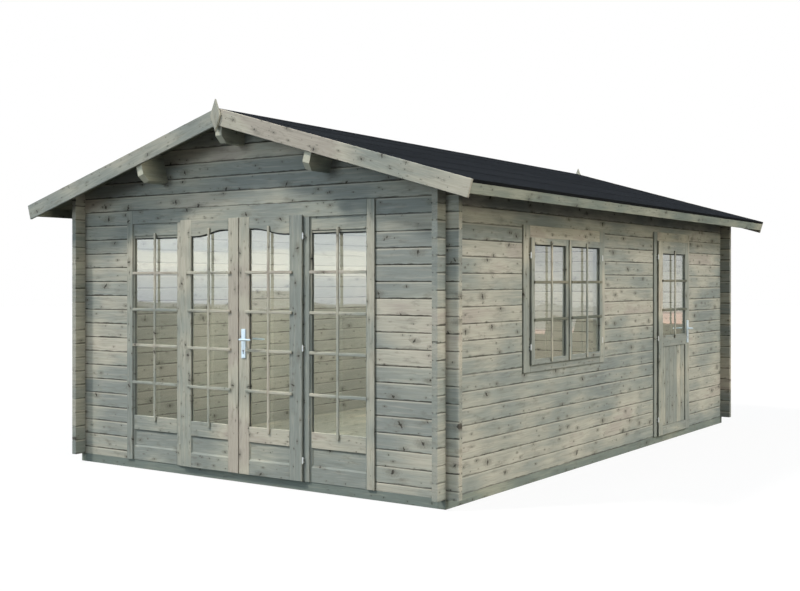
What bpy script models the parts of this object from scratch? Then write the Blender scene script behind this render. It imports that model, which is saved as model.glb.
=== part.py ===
"""Garden log cabin with crossed log corners, glazed double doors, a casement window and a side door.

Units are metres, +Z is up, the front gable faces -Y, and the origin is on the ground in the middle of
the cabin's roof plan.  Each sub-part is one named object with its own material.  Doors have
their origin on their hinge line and levers on their spindle.
"""

import math

import bmesh
import bpy
from mathutils import Matrix, Vector

# ---------------------------------------------------------------------------------------------
# Driving dimensions
# ---------------------------------------------------------------------------------------------

SEAT = 0.0003                # clearance left between pieces that touch

# Log walls
WALL_WIDTH = 3.59            # across the front, over the outer faces of the side walls
WALL_LENGTH = 5.50           # front to back, over the outer faces of the gable walls
LOG_THICKNESS = 0.044
COURSE = 0.114               # height of one log
LOG_CHAMFER = 0.004          # bevel along each log's edges, which makes the V joint
LOG_END = 0.10               # length of log that runs on past a crossed corner
WALL_COURSES = 19            # courses up to the roof's surface over a side wall's outer face
FRONT_COURSES = 16.5         # courses beside the front doors; gable walls start with a half log
FRONT_OPENING_COURSES = 17   # the front opening ends half a log up
SILL_COURSES = 7             # side wall courses under the window
HEAD_COURSES = 16            # side wall courses up to the heads of window and side door

# Ground timbers and floor
BEAM_HEIGHT = 0.067
BEAM_WIDTH = 0.058
FLOOR_THICKNESS = 0.019
FLOOR_MARGIN = 0.005         # expansion gap around the floor boards
BEARER_WIDTH = 0.045
BEARER_COUNT = 9

# Roof
ROOF_PITCH = math.radians(16.25)
EAVE_OVERHANG = 0.36         # from the side wall's face to the eave's outer top edge, level
GABLE_OVERHANG = 0.25        # roof boards past the gable wall's face
FELT_THICKNESS = 0.003
DECK_THICKNESS = 0.019
PURLIN_WIDTH = 0.060
PURLIN_DEPTH = 0.226
PURLIN_OFFSET = 0.865        # middle of a side purlin from the ridge line
PURLIN_CHAMFER = 0.050       # bevel under each purlin's end
PURLIN_SETBACK = 0.004       # purlin ends stop this far behind the bargeboards
BARGE_WIDTH = 0.120
BARGE_THICKNESS = 0.018
FASCIA_HEIGHT = 0.090
FASCIA_THICKNESS = 0.018
FINIAL_WIDTH = 0.100
FINIAL_HEIGHT = 0.240
FINIAL_THICKNESS = 0.016
FINIAL_RISE = 0.065          # finial's tip above the felt at the ridge

# Joinery shared by every opening
TRIM_THICKNESS = 0.014
LEAF_THICKNESS = 0.044
LIP_THICKNESS = 0.015        # part of a leaf that laps over the frame
LIP_GAP = 0.005              # running gap behind the lip and around the leaf's core
LIP_LAP = 0.012              # how far the lip covers the frame
STOP_DEPTH = 0.015           # rebate stop behind the leaf
GLASS_THICKNESS = 0.004
GLASS_REBATE = 0.006         # how far the glass reaches behind the lip
GLASS_CLEARANCE = 0.001      # around the glass in its rebate
ARCH_SHOULDER = 0.12         # level share of the glass's width at each end of its arched top
PANEL_RECESS = 0.012         # depth of the sunk panels, each side
LEAF_FOOT_GAP = 0.002        # under a door leaf's lip
HINGE_RADIUS = 0.007
HINGE_HEIGHT = 0.056
HINGE_PIN_DEPTH = 0.004      # hinge line behind the leaf's face
DOOR_HINGE_INSET = 0.150     # outer hinges' middles from the ends of a door leaf
CASEMENT_HINGE_INSET = 0.132
DOOR_SWING_LEAD = 0.0055     # hinge line beyond the lip's edge
CUTTER_REACH = 0.1           # how far cutters run past the faces that they cut

# Front doors and side lights
FRONT_HALF = 1.230           # half width over the trim
FRONT_HEAD_DROP = 0.050      # underside of the head trim below the opening's top
FRONT_TRIM_COVER = 0.057     # head trim over the log above the opening
FRONT_TRIM_WIDTH = 0.065
FRONT_HEAD_LAP = 0.015       # how far the leaves lap over the head
MULLION_OUTER = 0.660        # mullions stand between these two distances from the middle
MULLION_INNER = 0.595
THRESHOLD_HEIGHT = 0.030
MEETING_GAP = 0.008          # between the two front leaves
HINGE_STILE = 0.115
MEETING_STILE = 0.101
GLASS_FOOT = 0.357           # bottom of the glass above the beams
TOP_RAIL = 0.129             # leaf above the glass where that is level
ARCH_RISE = 0.044            # extra height of the glass at the meeting stiles
RECESS_TOP = 0.244           # sunk panel under the glass
RECESS_FOOT = 0.108
LIGHT_STILE = 0.012          # side light's stile beside its glass
LIGHT_SETBACK = 0.010        # side light's face behind the trim's face

# Window in the right wall
WINDOW_CENTRE = 1.765        # along the wall from the front face
WINDOW_HALF = 0.655          # half width of the opening in the logs
WINDOW_TRIM_SIDES = 0.060    # how far the trim laps over the logs at each edge
WINDOW_TRIM_HEAD = 0.020
WINDOW_TRIM_FOOT = 0.042
CASEMENT_SIDES = 0.030       # from the opening's edges in to both casements' lips
CASEMENT_HEAD = 0.070
CASEMENT_FOOT = 0.013
CASEMENT_GAP = 0.004         # between the two casements
CASEMENT_STILE = 0.050
CASEMENT_FOOT_RAIL = 0.040

# Door in the right wall
SIDE_DOOR_CENTRE = 4.030
SIDE_DOOR_HALF = 0.412       # half width of the opening in the logs
SIDE_TRIM_SIDES = 0.043      # how far the trim laps over the logs
SIDE_TRIM_HEAD = 0.062
SIDE_LEAF_SIDES = 0.024      # from the opening's edges in to the leaf's lip
SIDE_LEAF_HEAD = 0.019
SIDE_STILE = 0.095
SIDE_TOP_RAIL = 0.115
SIDE_GLASS_FOOT = 0.925
SIDE_RECESS_TOP = 0.822
SIDE_RECESS_FOOT = 0.085

# Lever handles
PLATE_WIDTH = 0.034
PLATE_HEIGHT = 0.220
PLATE_THICKNESS = 0.008
LEVER_RADIUS = 0.0075
LEVER_REACH = 0.050          # from the plate to the middle of the arm
LEVER_LENGTH = 0.115
LEVER_BEND = 0.012           # cut corner between the lever's neck and arm
SPINDLE_CLEARANCE = 0.0012
LEVER_OVER_PLATE_MIDDLE = 0.034
FRONT_LEVER_HEIGHT = 1.000   # above the beams
SIDE_LEVER_HEIGHT = 0.975
LOCK_RADIUS = 0.0085
LOCK_DROP = 0.092            # lock barrel under the lever's spindle

# ---------------------------------------------------------------------------------------------
# Values that follow from them
# ---------------------------------------------------------------------------------------------

SILL = BEAM_HEIGHT + SEAT                    # underside of the logs
HALF_WIDTH = WALL_WIDTH / 2
HALF_LENGTH = WALL_LENGTH / 2
RIDGE_HEIGHT = SILL + WALL_COURSES * COURSE + HALF_WIDTH * math.tan(ROOF_PITCH)
HALF_EAVE = HALF_WIDTH + EAVE_OVERHANG
SLOPE_LENGTH = HALF_EAVE / math.cos(ROOF_PITCH)
DECK_TOP = FELT_THICKNESS + SEAT             # depths below the felt's surface, square to it
DECK_UNDER = DECK_TOP + DECK_THICKNESS
LIP_BACK = -(TRIM_THICKNESS + LIP_GAP)       # across the wall; 0 is its outer face, + is inwards
LEAF_FRONT = LIP_BACK - LIP_THICKNESS
LEAF_BACK = LEAF_FRONT + LEAF_THICKNESS
STOP_FRONT = LEAF_BACK + LIP_GAP
FRAME_BACK = LOG_THICKNESS
HINGE_LINE = LEAF_FRONT + HINGE_PIN_DEPTH    # hinge line's place across the wall
LAP = LIP_LAP + LIP_GAP                      # a leaf's lip beyond its core
SILL_JOINT = SILL + SILL_COURSES * COURSE
HEAD_JOINT = SILL + HEAD_COURSES * COURSE
FRONT_OPENING_TOP = SILL + FRONT_OPENING_COURSES * COURSE
FRONT_HEAD = FRONT_OPENING_TOP - FRONT_HEAD_DROP
FRONT_GLASS_HEAD = FRONT_HEAD + FRONT_HEAD_LAP - TOP_RAIL

FINISHES = {
    "log": ((0.33, 0.34, 0.29, 1.0), 0.80, 0.0),
    "joinery": ((0.38, 0.38, 0.33, 1.0), 0.75, 0.0),
    "beam": ((0.16, 0.17, 0.15, 1.0), 0.85, 0.0),
    "floorboard": ((0.50, 0.46, 0.38, 1.0), 0.70, 0.0),
    "roof_board": ((0.20, 0.20, 0.16, 1.0), 0.85, 0.0),
    "felt": ((0.025, 0.027, 0.032, 1.0), 0.90, 0.0),
    "glass": ((0.75, 0.80, 0.80, 1.0), 0.05, 0.0),
    "handle": ((0.75, 0.76, 0.78, 1.0), 0.30, 1.0),
}


# ---------------------------------------------------------------------------------------------
# Scene and modelling helpers
# ---------------------------------------------------------------------------------------------

SHARP_ANGLE = 40             # degrees; edges bent more than this are drawn sharp


def clear_scene():
    """Remove whatever the file holds, so that the cabin is built alone."""
    for obj in list(bpy.data.objects):
        bpy.data.objects.remove(obj, do_unlink=True)


def make_collection(name):
    collection = bpy.data.collections.new(name)
    bpy.context.scene.collection.children.link(collection)
    return collection


def make_empty(name, location, turn):
    """An empty that carries the pieces of one wall, turned about Z."""
    empty = bpy.data.objects.new(name, None)
    empty.location = location
    empty.rotation_euler = (0.0, 0.0, turn)
    CABIN.objects.link(empty)
    return empty


def finish(obj, kind):
    """Give a sub-part a material of its own."""
    colour, roughness, metallic = FINISHES[kind]
    material = bpy.data.materials.new(obj.name + "_" + kind)
    material.use_nodes = True
    shader = material.node_tree.nodes["Principled BSDF"]
    shader.inputs["Base Color"].default_value = colour
    shader.inputs["Roughness"].default_value = roughness
    shader.inputs["Metallic"].default_value = metallic
    obj.data.materials.clear()
    obj.data.materials.append(material)
    return obj


def add_mesh_object(name, mesh, parent=None):
    obj = bpy.data.objects.new(name, mesh)
    CABIN.objects.link(obj)
    obj.parent = parent
    return obj


def as_cutter(obj):
    """Move an object to the cutters: it shapes other pieces and isn't one itself."""
    CABIN.objects.unlink(obj)
    CUTTERS.objects.link(obj)
    obj.hide_render = True
    obj.display_type = "WIRE"
    return obj


def boolean(obj, other, operation):
    modifier = obj.modifiers.new(operation.lower() + "_" + other.name, "BOOLEAN")
    modifier.operation = operation
    modifier.solver = "EXACT"
    modifier.object = other
    return obj


def cut(obj, *cutters):
    for cutter in cutters:
        boolean(obj, cutter, "DIFFERENCE")
    return obj


def join(obj, *others):
    """Fuse other shapes into this one and keep them as guides."""
    for other in others:
        boolean(obj, as_cutter(other), "UNION")
    return obj


def boxes(name, spans, parent=None):
    """One mesh of boxes that don't touch; each span is (low corner, high corner)."""
    mesh = bpy.data.meshes.new(name)
    shape = bmesh.new()
    for low, high in spans:
        low = Vector(low)
        high = Vector(high)
        made = bmesh.ops.create_cube(shape, size=1.0)
        bmesh.ops.scale(shape, vec=high - low, verts=made["verts"])
        bmesh.ops.translate(shape, vec=(low + high) / 2, verts=made["verts"])
    shape.to_mesh(mesh)
    shape.free()
    return add_mesh_object(name, mesh, parent)


def box(name, low, high, parent=None):
    return boxes(name, [(low, high)], parent)


def cylinder(name, centre, axis, radius, length, sides=16, parent=None):
    """A round bar about a point; axis is X, Y or Z."""
    mesh = bpy.data.meshes.new(name)
    shape = bmesh.new()
    bmesh.ops.create_cone(shape, cap_ends=True, segments=sides, radius1=radius, radius2=radius,
                          depth=length)
    turn = {"X": Matrix.Rotation(math.pi / 2, 4, "Y"), "Y": Matrix.Rotation(-math.pi / 2, 4, "X"),
            "Z": Matrix.Identity(4)}[axis]
    bmesh.ops.transform(shape, matrix=Matrix.Translation(centre) @ turn, verts=shape.verts)
    shape.to_mesh(mesh)
    shape.free()
    mesh.shade_smooth()
    mesh.set_sharp_from_angle(angle=math.radians(SHARP_ANGLE))
    return add_mesh_object(name, mesh, parent)


def mesh_from_curve(curve_object, parent):
    """Turn a curve object into a mesh object with welded caps, in the same place."""
    graph = bpy.context.evaluated_depsgraph_get()
    mesh = bpy.data.meshes.new_from_object(curve_object.evaluated_get(graph))
    mesh.shade_smooth()
    mesh.set_sharp_from_angle(angle=math.radians(SHARP_ANGLE))
    shape = bmesh.new()
    shape.from_mesh(mesh)
    bmesh.ops.remove_doubles(shape, verts=shape.verts, dist=0.00001)
    bmesh.ops.recalc_face_normals(shape, faces=shape.faces)
    shape.to_mesh(mesh)
    shape.free()
    name = curve_object.name
    matrix = curve_object.matrix_world.copy()
    bpy.data.objects.remove(curve_object, do_unlink=True)
    obj = add_mesh_object(name, mesh, parent)
    obj.matrix_basis = matrix
    return obj


# An outline is drawn in one of these planes and given its thickness along the third axis.
PLANES = {
    "XY": Matrix.Identity(4),
    "XZ": Matrix.Rotation(math.pi / 2, 4, "X"),
    "YZ": Matrix.Rotation(math.pi / 2, 4, "Z") @ Matrix.Rotation(math.pi / 2, 4, "X"),
}


def slab(name, outlines, plane, low, high, parent=None):
    """A flat piece from an outer outline and its holes, from low to high along the third axis."""
    curve = bpy.data.curves.new(name, "CURVE")
    curve.dimensions = "2D"
    curve.fill_mode = "BOTH"
    curve.extrude = (high - low) / 2
    for outline in outlines:
        spline = curve.splines.new("POLY")
        spline.points.add(len(outline) - 1)
        for point, (across, up) in zip(spline.points, outline):
            point.co = (across, up, 0.0, 1.0)
        spline.use_cyclic_u = True
    obj = bpy.data.objects.new(name, curve)
    CABIN.objects.link(obj)
    # The plane's third axis runs along -Y for XZ, and along +X and +Z for the others.
    along = {"XY": (0, 0, 1), "XZ": (0, 1, 0), "YZ": (1, 0, 0)}[plane]
    middle = Vector(along) * (low + high) / 2
    obj.matrix_world = Matrix.Translation(middle) @ PLANES[plane]
    bpy.context.view_layer.update()
    return mesh_from_curve(obj, parent)


def rod(name, points, radius, parent):
    """A round bar along straight runs."""
    curve = bpy.data.curves.new(name, "CURVE")
    curve.dimensions = "3D"
    curve.bevel_depth = radius
    curve.bevel_resolution = 2
    curve.use_fill_caps = True
    spline = curve.splines.new("POLY")
    spline.points.add(len(points) - 1)
    for point, place in zip(spline.points, points):
        point.co = (*place, 1.0)
    obj = bpy.data.objects.new(name, curve)
    CABIN.objects.link(obj)
    bpy.context.view_layer.update()
    return mesh_from_curve(obj, parent)


def rectangle(left, right, foot, top):
    return [(left, foot), (right, foot), (right, top), (left, top)]


def mirrored(outline):
    return [(-across, up) for across, up in reversed(outline)]


def shrunk(span, margin):
    """A rectangle's (left, right, foot, top), smaller by a margin all round."""
    left, right, foot, top = span
    return left + margin, right - margin, foot + margin, top - margin


def set_origin(obj, point):
    """Move an object's origin to a point of its parent's space, leaving its shape in place."""
    shift = obj.matrix_basis.inverted() @ Vector(point)
    obj.data.transform(Matrix.Translation(-shift))
    obj.location = point
    return obj


# ---------------------------------------------------------------------------------------------
# Roof geometry
# ---------------------------------------------------------------------------------------------

def slope_point(along, depth):
    """A point of the right roof slope: along it from the ridge, and square below the felt."""
    across = along * math.cos(ROOF_PITCH) - depth * math.sin(ROOF_PITCH)
    up = RIDGE_HEIGHT - along * math.sin(ROOF_PITCH) - depth * math.cos(ROOF_PITCH)
    return across, up


def roof_height(across, depth):
    """Height of the surface that lies this deep under the felt, at a distance from the ridge."""
    return RIDGE_HEIGHT - abs(across) * math.tan(ROOF_PITCH) - depth / math.cos(ROOF_PITCH)


def slope_board(top_depth, under_depth, end, mitre=SEAT):
    """Outline of a board on the right slope, mitred at the ridge and square-cut at its foot."""
    return [
        (mitre, roof_height(mitre, top_depth)),
        (mitre, roof_height(mitre, under_depth)),
        slope_point(end, under_depth),
        slope_point(end, top_depth),
    ]


# ---------------------------------------------------------------------------------------------
# Ground timbers and floor
# ---------------------------------------------------------------------------------------------

def build_beams():
    inner = HALF_WIDTH - BEAM_WIDTH
    for side, sign in (("left", -1), ("right", 1)):
        edges = sorted((sign * inner, sign * HALF_WIDTH))
        beam = box("foundation_" + side, (edges[0], -HALF_LENGTH, 0.0),
                   (edges[1], HALF_LENGTH, BEAM_HEIGHT))
        finish(beam, "beam")
    for end, sign in (("front", -1), ("rear", 1)):
        edges = sorted((sign * (HALF_LENGTH - BEAM_WIDTH), sign * HALF_LENGTH))
        beam = box("foundation_" + end, (-inner + SEAT, edges[0], 0.0),
                   (inner - SEAT, edges[1], BEAM_HEIGHT))
        finish(beam, "beam")


def build_floor():
    """Floor boards nailed to the bearers that carry them."""
    half_x = HALF_WIDTH - LOG_THICKNESS - FLOOR_MARGIN
    half_y = HALF_LENGTH - LOG_THICKNESS - FLOOR_MARGIN
    floor = box("floor", (-half_x, -half_y, SILL), (half_x, half_y, SILL + FLOOR_THICKNESS))
    bearer_x = HALF_WIDTH - BEAM_WIDTH - SEAT
    bay = 2 * (HALF_LENGTH - BEAM_WIDTH) / (BEARER_COUNT + 1)
    spans = []
    for index in range(BEARER_COUNT):
        middle = -HALF_LENGTH + BEAM_WIDTH + (index + 1) * bay
        spans.append(((-bearer_x, middle - BEARER_WIDTH / 2, 0.0),
                      (bearer_x, middle + BEARER_WIDTH / 2, SILL + FLOOR_THICKNESS / 2)))
    join(floor, boxes("floor_bearers", spans))
    finish(floor, "floorboard")


# ---------------------------------------------------------------------------------------------
# Log walls
# ---------------------------------------------------------------------------------------------

def log_section(outer, inner, foot, top, first_joint):
    """Section through a stack of logs: two faces with a V at each joint between courses."""
    joints = []
    joint = first_joint
    while joint < top - LOG_CHAMFER:
        if joint > foot + LOG_CHAMFER:
            joints.append(joint)
        joint += COURSE
    notch = math.copysign(LOG_CHAMFER, inner - outer)
    up_face = [(outer, foot)]
    down_face = [(inner, foot)]
    for joint in joints:
        up_face += [(outer, joint - LOG_CHAMFER), (outer + notch, joint), (outer, joint + LOG_CHAMFER)]
        down_face += [(inner, joint - LOG_CHAMFER), (inner - notch, joint), (inner, joint + LOG_CHAMFER)]
    up_face.append((outer, top))
    down_face.append((inner, top))
    return up_face + down_face[::-1]


def gable_logs(name, end, left, right, foot, top):
    """Logs of a gable wall, which lie along X; end is -1 at the front and 1 at the rear."""
    outer = end * HALF_LENGTH
    inner = outer - end * LOG_THICKNESS
    section = log_section(outer, inner, foot, top, SILL + COURSE / 2)
    return finish(slab(name, [section], "YZ", left, right), "log")


def side_logs(name, side, front, rear, foot, top):
    """Logs of a side wall, which lie along Y; side is -1 at the left and 1 at the right."""
    outer = side * HALF_WIDTH
    inner = outer - side * LOG_THICKNESS
    section = log_section(outer, inner, foot, top, SILL + COURSE)
    return finish(slab(name, [section], "XZ", front, rear), "log")


def notch_spans(first_middle, low, high):
    """Notches for the necks of the crossing logs: half a course high, one to each course."""
    reach = COURSE / 4 + SEAT / 2
    spans = []
    for index in range(math.ceil((RIDGE_HEIGHT - first_middle) / COURSE)):
        middle = first_middle + index * COURSE
        spans.append(((low[0], low[1], middle - reach), (high[0], high[1], middle + reach)))
    return spans


def corner_notches():
    """Cutters for the crossed corners: one set for the gable walls, one for the side walls."""
    gable = []
    side = []
    for sx in (-1, 1):
        for sy in (-1, 1):
            xs = sorted((sx * (HALF_WIDTH - LOG_THICKNESS - SEAT), sx * (HALF_WIDTH + SEAT)))
            ys = sorted((sy * (HALF_LENGTH - LOG_THICKNESS - SEAT), sy * (HALF_LENGTH + SEAT)))
            past_x = sorted((sx * (HALF_WIDTH - 2 * LOG_THICKNESS), sx * (HALF_WIDTH + LOG_THICKNESS)))
            past_y = sorted((sy * (HALF_LENGTH - 2 * LOG_THICKNESS), sy * (HALF_LENGTH + LOG_THICKNESS)))
            gable += notch_spans(SILL + COURSE / 2, (xs[0], past_y[0]), (xs[1], past_y[1]))
            side += notch_spans(SILL, (past_x[0], ys[0]), (past_x[1], ys[1]))
    return as_cutter(boxes("gable_wall_notches", gable)), as_cutter(boxes("side_wall_notches", side))


def roof_void():
    """Everything above the roof boards' underside, which trims the tops of the walls."""
    reach = HALF_EAVE + CUTTER_REACH
    top = RIDGE_HEIGHT + CUTTER_REACH
    end = HALF_LENGTH + GABLE_OVERHANG + CUTTER_REACH
    under = DECK_UNDER + SEAT
    outline = [(-reach, roof_height(reach, under)), (0.0, roof_height(0.0, under)),
               (reach, roof_height(reach, under)), (reach, top), (-reach, top)]
    return as_cutter(slab("roof_void", [outline], "XZ", -end, end))


def build_walls(void, passages):
    gable_notches, side_notches = corner_notches()
    tip_x = HALF_WIDTH + LOG_END
    tip_y = HALF_LENGTH + LOG_END
    wall_top = roof_height(HALF_WIDTH - LOG_THICKNESS, DECK_UNDER) + COURSE
    front_split = SILL + FRONT_COURSES * COURSE
    opening_half = FRONT_HALF - FRONT_TRIM_WIDTH / 2

    for side, sign in (("left", -1), ("right", 1)):
        edges = sorted((sign * opening_half, sign * tip_x))
        wall = gable_logs("front_wall_" + side, -1, edges[0], edges[1], SILL, front_split - SEAT / 2)
        cut(wall, gable_notches)
    gable = gable_logs("front_gable", -1, -tip_x, tip_x, front_split + SEAT / 2, RIDGE_HEIGHT)
    opening = box("front_opening", (-opening_half, -HALF_LENGTH - CUTTER_REACH, SILL - CUTTER_REACH),
                  (opening_half, -HALF_LENGTH + LOG_THICKNESS + CUTTER_REACH, FRONT_OPENING_TOP))
    cut(gable, gable_notches, void, passages, as_cutter(opening))
    rear = gable_logs("rear_wall", 1, -tip_x, tip_x, SILL, RIDGE_HEIGHT)
    cut(rear, gable_notches, void, passages)

    left = side_logs("left_wall", -1, -tip_y, tip_y, SILL, wall_top)
    cut(left, side_notches, void)

    window_front = -HALF_LENGTH + WINDOW_CENTRE - WINDOW_HALF
    window_rear = -HALF_LENGTH + WINDOW_CENTRE + WINDOW_HALF
    door_front = -HALF_LENGTH + SIDE_DOOR_CENTRE - SIDE_DOOR_HALF
    door_rear = -HALF_LENGTH + SIDE_DOOR_CENTRE + SIDE_DOOR_HALF
    half = SEAT / 2
    pieces = (
        ("right_wall_lower", -tip_y, door_front, SILL, SILL_JOINT - half),
        ("right_wall_front", -tip_y, window_front, SILL_JOINT + half, HEAD_JOINT - half),
        ("right_wall_middle", window_rear, door_front, SILL_JOINT + half, HEAD_JOINT - half),
        ("right_wall_rear", door_rear, tip_y, SILL, HEAD_JOINT - half),
        ("right_wall_top", -tip_y, tip_y, HEAD_JOINT + half, wall_top),
    )
    for name, front, rear_end, foot, top in pieces:
        wall = side_logs(name, 1, front, rear_end, foot, top)
        if name != "right_wall_middle":
            cut(wall, side_notches)
        if name == "right_wall_top":
            cut(wall, void)


# ---------------------------------------------------------------------------------------------
# Roof
# ---------------------------------------------------------------------------------------------

def purlin(name, across, turn, half_length, top, grow=0.0):
    """A roof beam with bevelled ends, seated under the roof boards and as steep as they are there."""
    chamfer = PURLIN_CHAMFER
    under = -PURLIN_DEPTH - grow
    elevation = [(-half_length, top), (half_length, top), (half_length, under + chamfer),
                 (half_length - chamfer, under), (-half_length + chamfer, under),
                 (-half_length, under + chamfer)]
    half_width = PURLIN_WIDTH / 2 + grow
    obj = slab(name, [elevation], "YZ", -half_width, half_width)
    seat = Vector((across, 0.0, roof_height(across, DECK_UNDER)))
    obj.matrix_basis = Matrix.Translation(seat) @ Matrix.Rotation(turn, 4, "Y") @ obj.matrix_basis
    return obj


PURLINS = (
    ("ridge_purlin", 0.0, 0.0),
    ("purlin_left", -PURLIN_OFFSET, -ROOF_PITCH),
    ("purlin_right", PURLIN_OFFSET, ROOF_PITCH),
)


def purlin_passages():
    """One cutter for the three places where a purlin runs through a gable wall."""
    half_length = HALF_LENGTH + GABLE_OVERHANG + CUTTER_REACH
    passages = [purlin(name + "_passage", across, turn, half_length, DECK_UNDER, SEAT)
                for name, across, turn in PURLINS]
    return as_cutter(join(*passages))


def build_purlins(void):
    """The ridge purlin is cut to the roof's two slopes; the side ones lie flat under theirs."""
    half_length = HALF_LENGTH + GABLE_OVERHANG - PURLIN_SETBACK
    for name, across, turn in PURLINS:
        if turn:
            obj = purlin(name, across, turn, half_length, -SEAT)
        else:
            obj = cut(purlin(name, across, turn, half_length, DECK_UNDER / 2), void)
        finish(obj, "log")


def build_roof():
    front = -HALF_LENGTH - GABLE_OVERHANG
    rear = HALF_LENGTH + GABLE_OVERHANG
    deck_end = SLOPE_LENGTH - FASCIA_THICKNESS - SEAT
    deck = slope_board(DECK_TOP, DECK_UNDER, deck_end)
    fascia = [slope_point(SLOPE_LENGTH - FASCIA_THICKNESS, DECK_TOP), slope_point(SLOPE_LENGTH, DECK_TOP),
              slope_point(SLOPE_LENGTH, DECK_TOP + FASCIA_HEIGHT),
              slope_point(SLOPE_LENGTH - FASCIA_THICKNESS, DECK_TOP + FASCIA_HEIGHT)]
    for side, flip in (("left", True), ("right", False)):
        deck_outline = mirrored(deck) if flip else deck
        fascia_outline = mirrored(fascia) if flip else fascia
        finish(slab("roof_deck_" + side, [deck_outline], "XZ", front, rear), "roof_board")
        finish(slab("eave_fascia_" + side, [fascia_outline], "XZ", front, rear), "joinery")

    upper = [slope_point(SLOPE_LENGTH, 0.0), (0.0, roof_height(0.0, 0.0))]
    lower = [slope_point(SLOPE_LENGTH, FELT_THICKNESS), (0.0, roof_height(0.0, FELT_THICKNESS))]
    felt = upper + mirrored(upper)[1:] + mirrored(lower)[::-1] + lower[::-1][1:]
    finish(slab("roof_felt", [felt], "XZ", front, rear), "felt")


def build_bargeboards():
    board = slope_board(0.0, BARGE_WIDTH, SLOPE_LENGTH)
    tip = RIDGE_HEIGHT + FINIAL_RISE
    finial = [(0.0, tip - FINIAL_HEIGHT), (FINIAL_WIDTH / 2, tip - FINIAL_HEIGHT / 2), (0.0, tip),
              (-FINIAL_WIDTH / 2, tip - FINIAL_HEIGHT / 2)]
    for end, sign in (("front", -1), ("rear", 1)):
        inner = HALF_LENGTH + GABLE_OVERHANG + SEAT
        outer = inner + BARGE_THICKNESS
        span = sorted((sign * inner, sign * outer))
        for side, outline in (("left", mirrored(board)), ("right", board)):
            finish(slab("bargeboard_" + end + "_" + side, [outline], "XZ", span[0], span[1]), "joinery")
        plate = sorted((sign * (outer + SEAT), sign * (outer + SEAT + FINIAL_THICKNESS)))
        finish(slab("finial_" + end, [finial], "XZ", plate[0], plate[1]), "joinery")


# ---------------------------------------------------------------------------------------------
# Joinery: X runs along the wall, Y across it (0 at the logs' outer face, + inwards), Z up
# ---------------------------------------------------------------------------------------------

def glazed_outline(left, right, foot, top, rise=0.0, grow=0.0, steps=10):
    """Outline of a glazed hole, whose top may rise in an S from left to right; grow widens it all round."""
    left -= grow
    right += grow
    foot -= grow
    top += grow
    if rise == 0.0:
        return rectangle(left, right, foot, top)
    outline = [(left, foot), (right, foot), (right, top + rise)]
    for step in range(steps + 1):
        share = ARCH_SHOULDER + (1 - 2 * ARCH_SHOULDER) * step / steps
        height = top + rise * (1 + math.cos(math.pi * step / steps)) / 2
        outline.append((right + (left - right) * share, height))
    return outline + [(left, top)]


def glazed_leaf(name, wall, outer, core, glass, front=LEAF_FRONT, thickness=LEAF_THICKNESS, rise=0.0,
                flip=False):
    """A leaf whose lip laps over the frame and over the glass, with a core and its rebate behind.

    outer, core and glass are (left, right, foot, top).  Returns the leaf and its sheet of glass.
    """
    outlines = [glazed_outline(*glass, rise, grow)
                for grow in (0.0, GLASS_REBATE, GLASS_REBATE - GLASS_CLEARANCE)]
    if flip:
        outlines = [mirrored(outline) for outline in outlines]
    sight, rebate, sheet = outlines
    lip_back = front + LIP_THICKNESS
    leaf = slab(name, [rectangle(*outer), sight], "XZ", front, lip_back, wall)
    back = slab(name + "_core", [rectangle(*core), rebate], "XZ", (front + lip_back) / 2,
                front + thickness, wall)
    pane_front = lip_back + SEAT
    pane = slab(name + "_glass", [sheet], "XZ", pane_front, pane_front + GLASS_THICKNESS, wall)
    return join(leaf, back), finish(pane, "glass")


def sink_panel(leaf, wall, left, right, foot, top, front, back):
    """Sink a panel into both faces of a leaf."""
    spans = [((left, front - CUTTER_REACH, foot), (right, front + PANEL_RECESS, top)),
             ((left, back - PANEL_RECESS, foot), (right, back + CUTTER_REACH, top))]
    return cut(leaf, as_cutter(boxes(leaf.name + "_recess", spans, wall)))


def hinge_knuckles(leaf, wall, line_x, foot, top, inset, count):
    """Fuse hinge barrels to the edge of a leaf's lip, evenly spaced between the outer two."""
    for index in range(count):
        height = foot + inset + (top - foot - 2 * inset) * index / (count - 1)
        barrel = cylinder(leaf.name + "_knuckle_" + str(index + 1), (line_x, HINGE_LINE, height),
                          "Z", HINGE_RADIUS, HINGE_HEIGHT, 12, wall)
        join(leaf, barrel)
    return leaf


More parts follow.
